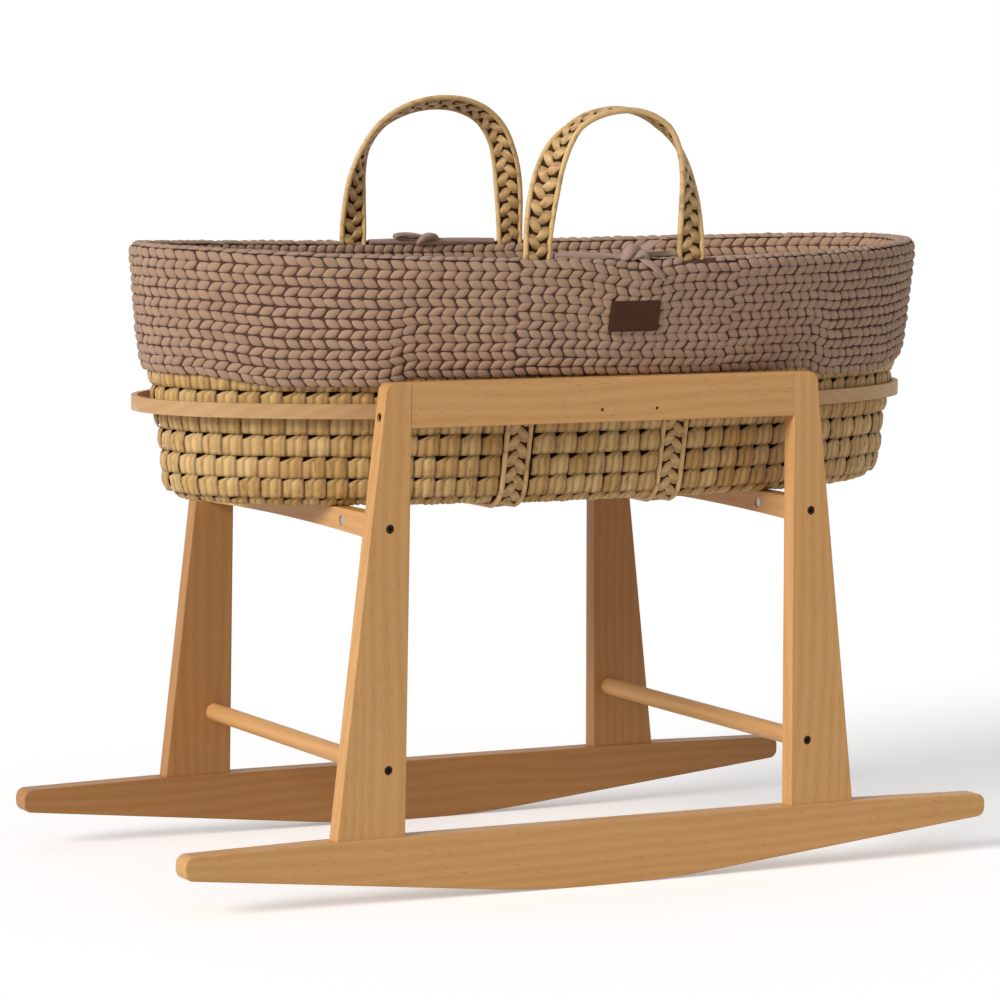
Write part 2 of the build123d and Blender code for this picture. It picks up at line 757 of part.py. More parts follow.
export_node("upper_bolts", [frame_bolt(side, face, board_middle, upper_tip_y)
                            for side, face in corners])
export_node("upper_barrel_nuts", [make_barrel_nut(side, face) for side, face in corners])
export_node("lower_bolts", [frame_bolt(side, face, dowel_height, lower_tip_y)
                            for side, face in corners])
export_node("dowel_inserts", [make_insert(side, face) for side, face in corners])
export_node("rail_bolts", [rail_bolt(side, face) for side, face in corners])
export_node("rail_barrel_nuts", [make_rail_nut(side, face) for side, face in corners])
export_node("rail_pins", [wood_pin_x(side, face) for side, face in corners])
export_node("leg_pins", [wood_pin_z(side, face, distance)
                         for side, face in corners for distance in leg_pin_xs])
export_node("bent_hoop", make_hoop())
export_node("hoop_screws", [make_hoop_screw(x, face)
                            for x in hoop_screw_xs for face in (FRONT, BACK)])

export_node("basket_walls", make_walls())
export_node("basket_base", make_base())
export_node("basket_rim", make_rim())
for side, side_name in side_names.items():
    export_node(f"carry_strap_{side_name}", make_strap(side))
export_node("cover_skirt", make_skirt())
export_node("cover_lining", make_lining())
export_node("leather_patch", make_patch())
export_node("mattress", make_mattress())
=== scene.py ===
# %% [markdown]
# # A Moses basket on its rocking stand
# A basket of palm leaf hangs between the rails of a beech stand. Its cover is knitted from thick
# yarn, its handles are plaited, and a mattress lies inside. The stand's wooden and metal pieces
# come from the CAD frame and only get their finishes here. The woven, knitted and padded pieces
# stood in the CAD as plain shells, and this script makes each of them again with its real surface.

# %% Load the frame
import math

import bpy
import numpy as np
from mathutils import Matrix, Vector


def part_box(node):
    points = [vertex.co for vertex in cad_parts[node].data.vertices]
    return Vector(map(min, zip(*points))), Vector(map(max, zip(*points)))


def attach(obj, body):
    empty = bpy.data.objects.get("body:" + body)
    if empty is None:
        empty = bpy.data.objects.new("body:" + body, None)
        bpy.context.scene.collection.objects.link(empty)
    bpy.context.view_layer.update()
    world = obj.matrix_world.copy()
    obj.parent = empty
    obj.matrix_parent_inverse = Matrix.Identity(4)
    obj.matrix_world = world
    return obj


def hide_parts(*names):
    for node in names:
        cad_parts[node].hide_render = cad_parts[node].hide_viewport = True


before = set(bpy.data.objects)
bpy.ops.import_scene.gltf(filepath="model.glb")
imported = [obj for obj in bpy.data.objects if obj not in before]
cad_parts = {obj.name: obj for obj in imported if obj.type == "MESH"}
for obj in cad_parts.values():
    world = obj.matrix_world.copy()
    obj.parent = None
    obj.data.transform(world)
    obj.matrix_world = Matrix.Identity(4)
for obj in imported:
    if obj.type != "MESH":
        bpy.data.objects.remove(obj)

scene = bpy.context.scene
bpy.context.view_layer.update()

# %% [markdown]
# ## Camera
# The photograph was taken from the left of the front, a little above the basket's rim, with a
# long lens. The place and the turns below are what the picture's own straight edges give: the
# legs, the rails and the tips of the rockers. The turn is built from the direction of view, so
# that a small roll can be added at the end.

# %% Camera
camera_place = Vector((-2.0382, -3.9237, 0.7980))
camera_yaw = 0.4762
camera_pitch = -0.1001
camera_roll = 0.0092
camera_lens = 159.27

forward = Vector((math.sin(camera_yaw) * math.cos(camera_pitch),
                  math.cos(camera_yaw) * math.cos(camera_pitch),
                  math.sin(camera_pitch)))
level_right = Vector((math.cos(camera_yaw), -math.sin(camera_yaw), 0))
level_up = level_right.cross(forward)
right = level_right * math.cos(camera_roll) + level_up * math.sin(camera_roll)
up = level_up * math.cos(camera_roll) - level_right * math.sin(camera_roll)

camera_data = bpy.data.cameras.new("photo_camera")
camera_data.sensor_width = 36
camera_data.lens = camera_lens
camera_data.clip_end = 60
camera = bpy.data.objects.new("photo_camera", camera_data)
camera.matrix_world = Matrix((right, up, -forward)).transposed().to_4x4()
camera.location = camera_place
scene.collection.objects.link(camera)
scene.camera = camera
print("camera", round((camera_place - Vector((0, 0, 0.4))).length, 2), "m from the basket")

# %% [markdown]
# ## Node trees as Python sums
# Finishes and repeated shapes both come from node trees. Wiring them by hand hides the idea
# behind the wires, so one small class wraps a node's output and lets Python's own signs add the
# Math nodes. A second class holds the tree and adds any other node, settings first.

# %% A socket that can be used in a sum
def find_socket(sockets, name):
    """A socket by its number, its identifier or its name."""
    if isinstance(name, int):
        return sockets[name]
    for socket in sockets:
        if socket.identifier == name:
            return socket
    return next(socket for socket in sockets if socket.name == name and socket.enabled)


class Signal:
    """A node's output, ready for sums."""

    def __init__(self, graph, socket):
        self.graph = graph
        self.socket = socket

    def output(self, name):
        return Signal(self.graph, find_socket(self.socket.node.outputs, name))

    def math(self, operation, *values):
        return self.graph.add("ShaderNodeMath", {"operation": operation},
                              dict(enumerate(values)))

    def __add__(self, other):
        return self.math("ADD", self, other)

    def __radd__(self, other):
        return self.math("ADD", other, self)

    def __sub__(self, other):
        return self.math("SUBTRACT", self, other)

    def __rsub__(self, other):
        return self.math("SUBTRACT", other, self)

    def __mul__(self, other):
        return self.math("MULTIPLY", self, other)

    def __rmul__(self, other):
        return self.math("MULTIPLY", other, self)

    def __truediv__(self, other):
        return self.math("DIVIDE", self, other)

    def __pow__(self, other):
        return self.math("POWER", self, other)

    def __neg__(self):
        return self.math("MULTIPLY", self, -1.0)

    def __abs__(self):
        return self.math("ABSOLUTE", self)

    def sine(self):
        return self.math("SINE", self)

    def root(self):
        return self.math("SQRT", self)

    def at_least(self, other):
        return self.math("MAXIMUM", self, other)

    def at_most(self, other):
        return self.math("MINIMUM", self, other)

    def angle_to(self, other):
        return self.math("ARCTAN2", self, other)

    def between(self, low, high, low_value=0.0, high_value=1.0):
        """From low_value to high_value, smoothly, as this goes from low to high."""
        return self.graph.add("ShaderNodeMapRange", {"interpolation_type": "SMOOTHSTEP"},
                              {"Value": self, "From Min": low, "From Max": high,
                               "To Min": low_value, "To Max": high_value})

    def times(self, amount):
        """A vector made longer."""
        return self.graph.add("ShaderNodeVectorMath", {"operation": "SCALE"},
                              {"Vector": self, "Scale": amount})

    def plus(self, other):
        """Two vectors added."""
        return self.graph.add("ShaderNodeVectorMath", {"operation": "ADD"}, {0: self, 1: other})


# %% A tree that nodes are added to
class Graph:
    """A node tree, for a finish or for Geometry Nodes."""

    def __init__(self, tree):
        self.tree = tree

    def add(self, kind, settings=None, inputs=None, output=0):
        """A node of any type: its settings, then the values or links of its sockets."""
        node = self.tree.nodes.new(kind)
        for name, value in (settings or {}).items():
            setattr(node, name, value)
        for name, value in (inputs or {}).items():
            socket = find_socket(node.inputs, name)
            if isinstance(value, Signal):
                self.tree.links.new(value.socket, socket)
            else:
                socket.default_value = value
        if not len(node.outputs):
            return node
        return Signal(self, find_socket(node.outputs, output))

    def vector(self, x=0.0, y=0.0, z=0.0):
        return self.add("ShaderNodeCombineXYZ", {}, {"X": x, "Y": y, "Z": z})

    def parts(self, vector):
        split = self.add("ShaderNodeSeparateXYZ", {}, {"Vector": vector})
        return split, split.output("Y"), split.output("Z")

    def mix(self, share, first, second):
        """A colour between two colours."""
        return self.add("ShaderNodeMix", {"data_type": "RGBA"},
                        {"Factor_Float": share, "A_Color": first, "B_Color": second},
                        "Result_Color")

    def noise(self, vector, scale, detail=2.0, roughness=0.5):
        return self.add("ShaderNodeTexNoise", {},
                        {"Vector": vector, "Scale": scale, "Detail": detail,
                         "Roughness": roughness}, "Fac")

    def attribute(self, name):
        return self.add("ShaderNodeAttribute", {"attribute_name": name}, {}, "Fac")


def paint(red, green, blue):
    """A colour as a screen shows it, 0 to 255, for a shader."""
    screen = [value / 255 for value in (red, green, blue)]
    linear = [value / 12.92 if value <= 0.04045 else ((value + 0.055) / 1.055) ** 2.4
              for value in screen]
    return (*linear, 1.0)


def new_finish(name, fixed):
    """An empty finish: its graph and its shader, with the values that are the same all over."""
    finish = bpy.data.materials.new(name)
    finish.use_nodes = True
    shader = finish.node_tree.nodes["Principled BSDF"]
    for socket, value in fixed.items():
        shader.inputs[socket].default_value = value
    return finish, Graph(finish.node_tree), shader


def dress(graph, shader, colour, roughness, height, depth):
    """Join a colour, a roughness and a bump, whose depth is in metres, to a finish's shader."""
    bump = graph.add("ShaderNodeBump", {}, {"Strength": 1.0, "Distance": depth,
                                            "Height": height}, "Normal")
    links = graph.tree.links
    links.new(colour.socket, shader.inputs["Base Color"])
    links.new(roughness.socket, shader.inputs["Roughness"])
    links.new(bump.socket, shader.inputs["Normal"])


print("tree helpers ready")

# %% [markdown]
# ## Beech
# The stand is beech with a clear oil: warm tan, with soft growth lines along each board and the
# short dark flecks that tell beech from other woods. A box's grain runs along its length, so each
# finish is told which way that is. The growth lines come from a coordinate across the board that
# a slow noise bends, which gives long ripples instead of ruled stripes. The back frame has a darker
# finish than the front one. That copies the photograph, where it stands in shade, so it is part of
# the picture's light and not of the wood.

# %% Beech finishes
beech_pale = paint(218, 167, 108)
beech_deep = paint(192, 138, 78)
beech_fleck = paint(156, 102, 54)
# The back frame's two colours are painted shade: the same beech, made darker for the shade it stands
# in.
back_pale_painted_shade = paint(186, 134, 78)
back_deep_painted_shade = paint(160, 108, 56)


def wood_finish(name, grain_along, pale, deep, fleck):
    """Wood whose grain runs along X, Y, Z or round the basket."""
    finish, graph, shader = new_finish(name, {"Specular IOR Level": 0.35, "Coat Roughness": 0.3})
    place = graph.add("ShaderNodeTexCoord", {}, {}, "Object")
    x, y, z = graph.parts(place)
    if grain_along == "X":
        along, across, through = x, z, y
    elif grain_along == "Y":
        along, across, through = y, z, x
    elif grain_along == "Z":
        along, across, through = z, x, y
    else:
        along, across, through = y.angle_to(x) * 0.3, z, (x * x + y * y).root()
    bend = graph.noise(graph.vector(along * 2.2, across * 9.0, through * 9.0), 1.0, 2.0)
    growth = across * 1.0 + through * 0.8 + bend * 0.055
    rings = (growth * 520.0).sine() * 0.5 + 0.5
    broad = graph.noise(graph.vector(along * 3.0, across * 26.0, through * 26.0), 1.0, 3.0)
    fine = graph.noise(graph.vector(along * 26.0, across * 900.0, through * 900.0), 1.0, 3.0, 0.6)
    flecks = graph.noise(graph.vector(along * 110.0, across * 1100.0, through * 1100.0), 1.0, 1.0)
    tone = (rings * 0.26 + broad * 0.55 + fine * 0.45 - 0.13).at_least(0.0).at_most(1.0)
    speck = flecks.between(0.66, 0.76) * 0.5
    colour = graph.mix(speck, graph.mix(tone, pale, deep), fleck)
    roughness = fine * 0.16 + 0.4
    dress(graph, shader, colour, roughness, fine * 0.7 - speck, 0.00025)
    return finish


beech_x = wood_finish("beech along the board", "X", beech_pale, beech_deep, beech_fleck)
beech_y = wood_finish("beech across the stand", "Y", beech_pale, beech_deep, beech_fleck)
beech_z = wood_finish("beech upright", "Z", beech_pale, beech_deep, beech_fleck)
back_x_painted_shade = wood_finish("beech with painted shade along", "X", back_pale_painted_shade, back_deep_painted_shade, beech_fleck)
back_z_painted_shade = wood_finish("beech with painted shade upright", "Z", back_pale_painted_shade, back_deep_painted_shade, beech_fleck)
beech_bent = wood_finish("bent beech strip", "ROUND", paint(204, 163, 114),
                         paint(176, 134, 88), paint(150, 104, 62))
pin_wood = wood_finish("pin wood", "Z", paint(214, 178, 136), paint(190, 150, 108),
                       paint(150, 110, 74))
print("beech finishes", 7)

# %% [markdown]
# ## Metal
# The frame bolts are blackened steel, mottled with brown, and sit a little below the wood.
# The nuts and inserts inside the wood are zinc plated. Both are metals with a fine mottling, which
# a noise gives to their colour and roughness.

# %% Metal finishes
def metal_finish(name, light, dark, rough_low, rough_high):
    """A plain metal with fine mottling."""
    finish, graph, shader = new_finish(name, {"Metallic": 0.9})
    place = graph.add("ShaderNodeTexCoord", {}, {}, "Object")
    mottle = graph.noise(place, 420.0, 3.0, 0.6)
    scratches = graph.noise(graph.add("ShaderNodeMapping", {}, {"Vector": place,
                            "Scale": (900.0, 900.0, 60.0)}), 1.0, 2.0)
    colour = graph.mix(mottle, light, dark)
    roughness = mottle * (rough_high - rough_low) + rough_low
    dress(graph, shader, colour, roughness, scratches, 0.00003)
    return finish


black_steel = metal_finish("blackened steel", paint(70, 52, 42), paint(34, 26, 22), 0.38, 0.6)
zinc_steel = metal_finish("zinc plated steel", paint(205, 205, 200), paint(150, 150, 148), 0.25,
                          0.45)

# %% Give the stand's pieces their finishes
stand_finishes = {
    beech_x: ["rocker_front", "top_rail_front"],
    # The back frame takes the beech with painted shade.
    back_x_painted_shade: ["rocker_back", "top_rail_back"],
    beech_y: ["support_board_left", "support_board_right", "dowel_left", "dowel_right"],
    beech_z: ["leg_front_left", "leg_front_right"],
    back_z_painted_shade: ["leg_back_left", "leg_back_right"],
    beech_bent: ["bent_hoop"],
    pin_wood: ["rail_pins", "leg_pins"],
    black_steel: ["upper_bolts", "lower_bolts", "rail_bolts"],
    zinc_steel: ["upper_barrel_nuts", "dowel_inserts", "rail_barrel_nuts", "hoop_screws"],
}
for finish, nodes in stand_finishes.items():
    for node in nodes:
        for material_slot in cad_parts[node].material_slots:
            material_slot.material = finish
print("stand pieces finished", sum(len(nodes) for nodes in stand_finishes.values()))

# %% [markdown]
# ## The basket's oval
# Walls, cover, straps and mattress all follow one tapered oval: an ellipse whose two half sizes
# shrink towards the base. The CAD gives its middle and its full size, and the taper below says
# how far it draws in at the ends and at the sides. A place on it is an angle round the ellipse, a
# height above the base and a growth out from the wall. Rows of leaf or yarn have to be evenly
# spaced along the wall, not by angle, so a helper measures the way round.

# %% The oval and the ways round it
walls_low, walls_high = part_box("basket_walls")
basket_x = (walls_low.x + walls_high.x) / 2
basket_z = walls_low.z
wall_taper = [(0.0, 0.039, 0.063), (0.006, 0.030, 0.055), (0.015, 0.025, 0.051),
              (0.060, 0.022, 0.042), (0.098, 0.015, 0.034), (0.160, 0.006, 0.018),
              (0.240, 0.0, 0.0)]
full_half_length = 0.420
full_half_width = 0.218


def half_sizes(height):
    """Half the basket's length and width outside its wall, at a height above its base."""
    heights, ends, sides = zip(*wall_taper)
    return (full_half_length - np.interp(height, heights, ends),
            full_half_width - np.interp(height, heights, sides))


def oval_place(angle, height, grow):
    half_length, half_width = half_sizes(height)
    return Vector((basket_x + (half_length + grow) * math.cos(angle),
                   (half_width + grow) * math.sin(angle), basket_z + height))


def even_angles(start, end, height, grow, count):
    """Angles of points spaced evenly along the oval, and the distance between them."""
    half_length, half_width = half_sizes(height)
    angles = np.linspace(start, end, 721)
    steps = np.hypot(np.diff((half_length + grow) * np.cos(angles)),
                     np.diff((half_width + grow) * np.sin(angles)))
    way = np.concatenate([[0], np.cumsum(steps)])
    middles = (np.arange(count) + 0.5) / count * way[-1]
    return np.interp(middles, way, angles), way[-1] / count


class Profile:
    """A line up a wall, through (height, growth) points, measured by its length."""

    def __init__(self, points):
        self.heights, self.grows = (np.array(values) for values in zip(*points))
        sides = half_sizes(self.heights)[1] + self.grows
        steps = np.hypot(np.diff(self.heights), np.diff(sides))
        self.way = np.concatenate([[0], np.cumsum(steps)])
        self.length = self.way[-1]

    def at(self, distance):
        return (np.interp(distance, self.way, self.heights),
                np.interp(distance, self.way, self.grows))

    def distance_at(self, height):
        """The way up to a height, before the profile turns down again."""
        top = int(np.argmax(self.heights)) + 1
        return float(np.interp(height, self.heights[:top], self.way[:top]))


def directions(place_at, angle, distance, span=0.0005):
    """A place on a wall, with its directions along the wall to the right, up and outwards."""
    nudge = 0.0005
    place = place_at(angle, distance)
    along = (place_at(angle + nudge, distance) - place_at(angle - nudge, distance)).normalized()
    upward = place_at(angle, distance + span) - place_at(angle, distance - nudge)
    upward = (upward - along * upward.dot(along)).normalized()
    return place, along, upward, along.cross(upward).normalized()


print("basket middle", round(basket_x, 4), "base", round(basket_z, 4))

# %% [markdown]
# ## One tree for everything that is tiled
# A woven wall is one leaf fold many hundred times over, and a knitted cover is one stitch many
# thousand times over. Geometry Nodes lays a small grid on every place of a mesh of points. Each
# point carries its own directions and sizes as attributes, so once the copies are made real, every
# vertex knows its place on the wall and its place in its own tile, and a formula in the tree
# moves it there. That bends the tiles with the wall and lets no two be alike.

# %% Places for tiles
class Seats:
    """Places for a tiled shape, each with directions and numbers of its own."""

    def __init__(self):
        self.places = []

    def add(self, place, along, upward, outward, **numbers):
        self.places.append((place, along, upward, outward, numbers))

    def mesh(self, name):
        """The places as a mesh of loose points with attributes."""
        mesh = bpy.data.meshes.new(name)
        mesh.from_pydata([seat[0] for seat in self.places], [], [])
        for index, label in enumerate(("place", "along", "upward", "outward")):
            layer = mesh.attributes.new(label, "FLOAT_VECTOR", "POINT")
            values = [value for seat in self.places for value in seat[index]]
            layer.data.foreach_set("vector", values)
        for label in self.places[0][4]:
            layer = mesh.attributes.new(label, "FLOAT", "POINT")
            layer.data.foreach_set("value", [seat[4][label] for seat in self.places])
        return mesh


# %% The tree's parts that every repeated shape shares
def start_tree(name, sizes):
    """A Geometry Nodes tree with a geometry input and named sizes."""
    tree = bpy.data.node_groups.new(name, "GeometryNodeTree")
    tree.interface.new_socket("Geometry", in_out="OUTPUT", socket_type="NodeSocketGeometry")
    tree.interface.new_socket("Geometry", in_out="INPUT", socket_type="NodeSocketGeometry")
    for label, value in sizes.items():
        socket = tree.interface.new_socket(label, in_out="INPUT", socket_type="NodeSocketFloat")
        socket.default_value = value
    tree.interface.new_socket("Finish", in_out="INPUT", socket_type="NodeSocketMaterial")
    graph = Graph(tree)
    return graph, graph.add("NodeGroupInput")


def read(graph, label, kind="FLOAT"):
    return graph.add("GeometryNodeInputNamedAttribute", {"data_type": kind}, {"Name": label},
                     "Attribute")


def keep(graph, geometry, label, value, kind="FLOAT"):
    return graph.add("GeometryNodeStoreNamedAttribute", {"data_type": kind, "domain": "POINT"},
                     {"Geometry": geometry, "Name": label, "Value": value})


def end_tree(graph, geometry, finish):
    """Realize Instances, smooth shading and the finish, at the end of each tree."""
    real = graph.add("GeometryNodeRealizeInstances", {}, {"Geometry": geometry})
    smooth = graph.add("GeometryNodeSetShadeSmooth", {}, {"Geometry": real})
    dressed = graph.add("GeometryNodeSetMaterial", {}, {"Geometry": smooth, "Material": finish})
    graph.add("NodeGroupOutput", {}, {"Geometry": dressed})
    return graph.tree


def grown(name, mesh, tree, sizes, finish):
    """The plain mesh object that a tree makes from a mesh."""
    source = bpy.data.objects.new(name + "_source", mesh)
    scene.collection.objects.link(source)
    modifier = source.modifiers.new("tree", "NODES")
    modifier.node_group = tree
    labels = {item.name: item.identifier for item in tree.interface.items_tree
              if item.in_out == "INPUT"}
    for label, value in sizes.items():
        modifier[labels[label]] = value
    modifier[labels["Finish"]] = finish
    scene_state = bpy.context.evaluated_depsgraph_get()
    made = bpy.data.meshes.new_from_object(source.evaluated_get(scene_state),
                                           preserve_all_data_layers=True,
                                           depsgraph=scene_state)
    bpy.data.objects.remove(source)
    for label in ("place", "along", "upward", "outward", "cell", "ring"):
        if label in made.attributes:
            made.attributes.remove(made.attributes[label])
    piece = bpy.data.objects.new(name, made)
    scene.collection.objects.link(piece)
    print(name, "faces", len(made.polygons))
    return piece


def tile_tree(name, columns, rows, sizes, shape):
    """A tree that lays a grid of columns by rows on each place and shapes it with a formula."""
    graph, given = start_tree(name, sizes)
    grid = graph.add("GeometryNodeMeshGrid", {},
                     {"Size X": 2.0, "Size Y": 2.0, "Vertices X": columns + 1,
                      "Vertices Y": rows + 1})
    position = graph.add("GeometryNodeInputPosition")
    grid = keep(graph, grid, "cell", position, "FLOAT_VECTOR")
    chance = graph.add("FunctionNodeRandomValue", {"data_type": "FLOAT"}, {"Seed": 7}, 1)
    points = keep(graph, given.output("Geometry"), "tone", chance)
    tiles = graph.add("GeometryNodeInstanceOnPoints", {}, {"Points": points, "Instance": grid})
    tiles = graph.add("GeometryNodeRealizeInstances", {}, {"Geometry": tiles})
    x, y, _ = graph.parts(read(graph, "cell", "FLOAT_VECTOR"))
    along, upward, outward, crest = shape(graph, given, x, y)
    spot = read(graph, "place", "FLOAT_VECTOR")
    for label, amount in (("along", along), ("upward", upward), ("outward", outward)):
        spot = spot.plus(read(graph, label, "FLOAT_VECTOR").times(amount))
    tiles = keep(graph, tiles, "crest", crest)
    tiles = graph.add("GeometryNodeSetPosition", {}, {"Geometry": tiles, "Position": spot})
    return end_tree(graph, tiles, given.output("Finish"))


print("tile tree ready")

# %% [markdown]
# ## Palm leaf
# The wall is woven of palm leaf: flat strips folded round a core, row above row. A fold is pale
# straw on its crown, and each fold has a tone of its own. It goes dark brown in its creases and
# towards the gap, where shade falls, and that darkening is painted shade. Its fibres run up the
# fold, so the streaks are stretched that way. The tiles bring two attributes: tone, a shade of
# their own, and crest, which is 1 on the crown and 0 in the gap and sets how much painted shade a
# place gets.

# %% Palm leaf finish
def leaf_finish(name, streaks, pale, warm, crease, greenish):
    """Palm leaf. The streaks are how fine the fibres are along X, Y and Z."""
    finish, graph, shader = new_finish(name, {"Specular IOR Level": 0.3})
    place = graph.add("ShaderNodeTexCoord", {}, {}, "Object")
    fibre = graph.noise(graph.add("ShaderNodeMapping", {}, {"Vector": place,
                        "Scale": streaks}), 1.0, 3.0, 0.6)
    blotch = graph.noise(place, 55.0, 2.0)
    tone = graph.attribute("tone")
    crest = graph.attribute("crest")
    colour = graph.mix((tone * 0.75 + fibre * 0.5 - 0.2).at_least(0.0).at_most(1.0), pale, warm)
    colour = graph.mix(blotch.between(0.5, 0.75) * 0.45, colour, greenish)
    colour = graph.mix(fibre.between(0.56, 0.7) * 0.4, colour, crease)
    # Painted shade: darker towards the gap and in the creases, as crest falls.
    colour = graph.mix(1.0 - crest, colour, crease)
    roughness = fibre * 0.2 + 0.5
    dress(graph, shader, colour, roughness, fibre, 0.0006)
    return finish


wall_leaf = leaf_finish("palm leaf wall", (260.0, 260.0, 40.0), paint(222, 184, 124),
                        paint(188, 143, 80), paint(88, 56, 24), paint(178, 144, 82))

# %% Shadow inside the weave
def shadow_finish(name, dark, darker):
    finish, graph, shader = new_finish(name, {"Specular IOR Level": 0.1})
    place = graph.add("ShaderNodeTexCoord", {}, {}, "Object")
    mottle = graph.noise(place, 180.0, 3.0)
    dress(graph, shader, graph.mix(mottle, dark, darker), mottle * 0.1 + 0.85, mottle, 0.0005)
    return finish


# Painted shade: the dark shell inside the wall and the backing strips of the plaits take this
# colour, for the shade in their gaps.
weave_painted_shade = shadow_finish("painted shade inside the weave", paint(74, 50, 26), paint(34, 22, 12))
# Painted shade: the knit's ground behind the stitches takes this colour, for the shade between them.
knit_painted_shade = shadow_finish("painted shade inside the knit", paint(104, 74, 62), paint(72, 48, 40))

# %% [markdown]
# ## The woven wall
# A row of the weave is 21.4 mm high. Each fold stands on the row below, is widest in its body,
# and narrows to a bridge on its right that goes up and tucks in under the next row, which leaves
# a slanting dark slot on its left. Two creases run up its front. The carrying straps lie in the
# wall, so the folds are spaced evenly between them.

# %% One leaf fold
def leaf_fold(graph, given, x, y):
    """A fold's shape: x goes across it and y up it, both from -1 to 1."""
    across = x * 0.5 + 0.5
    climb = y * 0.5 + 0.5
    tone = read(graph, "tone")
    wander = (tone * 37.0).sine()
    width = read(graph, "width") * (wander * 0.03 + 0.98)
    body_share = 0.64
    rise = ((climb - body_share) / (1.0 - body_share)).at_least(0.0)
    body = (climb / body_share).at_most(1.0)
    shoulder = given.output("Shoulder") * (wander * 0.12 + 1.0)
    left = (rise ** 0.62) * width * shoulder - width * 0.5
    along = left + across * (width * 0.5 - left) + rise * (tone - 0.5) * 0.003
    row = read(graph, "height")
    upward = body * row * 0.71 - given.output("Overhang") * (1.0 - body) + rise * row * 0.45
    upward = upward + x * (wander * 0.0006)
    rounding = abs(x) ** 5.0
    crease_left = (1.0 - abs(across - 0.375) / 0.1).at_least(0.0)
    crease_right = (1.0 - abs(across - 0.75) / 0.1).at_least(0.0)
    crown = (body * 2.6 + 0.25).sine() * given.output("Crown")
    outward = crown - given.output("Tuck") * rise - rounding * 0.0014
    outward = outward - crease_left * 0.0008 * (1.6 - rise) - crease_right * 0.0006
    outward = outward + (tone - 0.5) * 0.0012
    rough = graph.noise(read(graph, "place", "FLOAT_VECTOR").plus(graph.vector(along, upward)),
                        140.0, 2.0) - 0.5
    outward = outward + rough * 0.0030
    # crest sets the painted shade: low at the fold's sides, in its creases, on the rising bridge and
    # at its foot.
    crest = (1.0 - rounding * 0.75) * (1.0 - crease_left * 0.45) * (1.0 - crease_right * 0.35)
    crest = crest * (1.0 - rise * 0.6) * body.between(0.0, 0.14, 0.45, 1.0)
    return along, upward, outward, crest


leaf_tree = tile_tree("leaf folds", 8, 8,
                      {"Shoulder": 0.72, "Overhang": 0.0012, "Crown": 0.0020, "Tuck": 0.0064},
                      leaf_fold)

# %% Where the straps cross the wall
strap_width = 0.030
handle_middle_x = {"front": 0.0015, "back": 0.0080}
handle_half = {"front": 0.084, "back": 0.091}
pivot_y = {"front": -0.20415, "back": 0.20353}


def strap_x(side, y):
    """The middle of a carrying strap, which runs a little askew from front to back."""
    front = handle_middle_x["front"] + side * handle_half["front"]
    back = handle_middle_x["back"] + side * handle_half["back"]
    share = (y - pivot_y["front"]) / (pivot_y["back"] - pivot_y["front"])
    return front + share * (back - front)


def gaps_between_straps(height, grow, clear):
    """The four stretches of the oval that no strap covers, as start and end angles."""
    half_length, half_width = half_sizes(height)

    def edge_angle(side, edge, face):
        x = strap_x(side, face * (half_width + grow)) + edge * (strap_width / 2 + clear)
        return face * math.acos((x - basket_x) / (half_length + grow))

    return [(edge_angle(-1, 1, -1), edge_angle(1, -1, -1)),
            (edge_angle(1, 1, -1), edge_angle(1, 1, 1)),
            (edge_angle(1, -1, 1), edge_angle(-1, 1, 1)),
            (edge_angle(-1, -1, 1), 2 * math.pi + edge_angle(-1, -1, -1))]


# %% Rows of leaf folds
wall_profile = Profile([(0.004, -0.002), (0.015, 0.0), (0.060, 0.0),
                        (0.098, 0.0), (0.160, 0.0), (0.225, 0.0)])
row_height = 0.0214
first_gap_height = 0.0095
fold_width = 0.0212


edge_profile = Profile([(0.0004, -0.0090), (0.0095, 0.0)])
base_profile = Profile([(0.0012, -0.1500), (0.0012, -0.0070)])


def fold_rows(seats, profile, distances, height_of_row, width_of_fold):
    """Seats for whole rows of folds, each standing at its distance along the profile."""
    def place_at(angle, distance):
        return oval_place(angle, *profile.at(distance))

    for row, distance in enumerate(distances):
        height, grow = profile.at(distance)
        for stretch, (begin, end) in enumerate(gaps_between_straps(height, grow, 0.0008)):
            length = even_angles(begin, end, height, grow, 1)[1]
            count = max(1, round(length / width_of_fold + 0.3 * math.sin(row * 2.1 + stretch)))
            angles, width = even_angles(begin, end, height, grow, count)
            for angle in angles:
                seat = directions(place_at, angle, distance, height_of_row * 0.8)
                seats.add(*seat, width=width * 1.03, height=height_of_row)


wall_seats = Seats()
first_row = wall_profile.distance_at(first_gap_height)
fold_rows(wall_seats, wall_profile, [first_row + row * row_height for row in range(7)],
          row_height, fold_width)
fold_rows(wall_seats, edge_profile, [0.0006], 0.0145, 0.0165)
base_seats = Seats()
fold_rows(base_seats, base_profile,
          [base_profile.length - row * row_height for row in range(6, 0, -1)],
          row_height, fold_width)
wall_folds = grown("basket_wall_folds", wall_seats.mesh("wall seats"), leaf_tree, {}, wall_leaf)
base_folds = grown("basket_base_folds", base_seats.mesh("base seats"), leaf_tree, {}, wall_leaf)

# %% [markdown]
# ## What is behind the folds
# Through the slots one sees into the thickness of the wall, which lies in shade. A thin shell 7 mm
# behind the surface carries that shade as a painted dark colour, and it also closes the wall under
# the cover. It is a ruled oval shell: rings of points at chosen heights and growths, joined by
# faces.

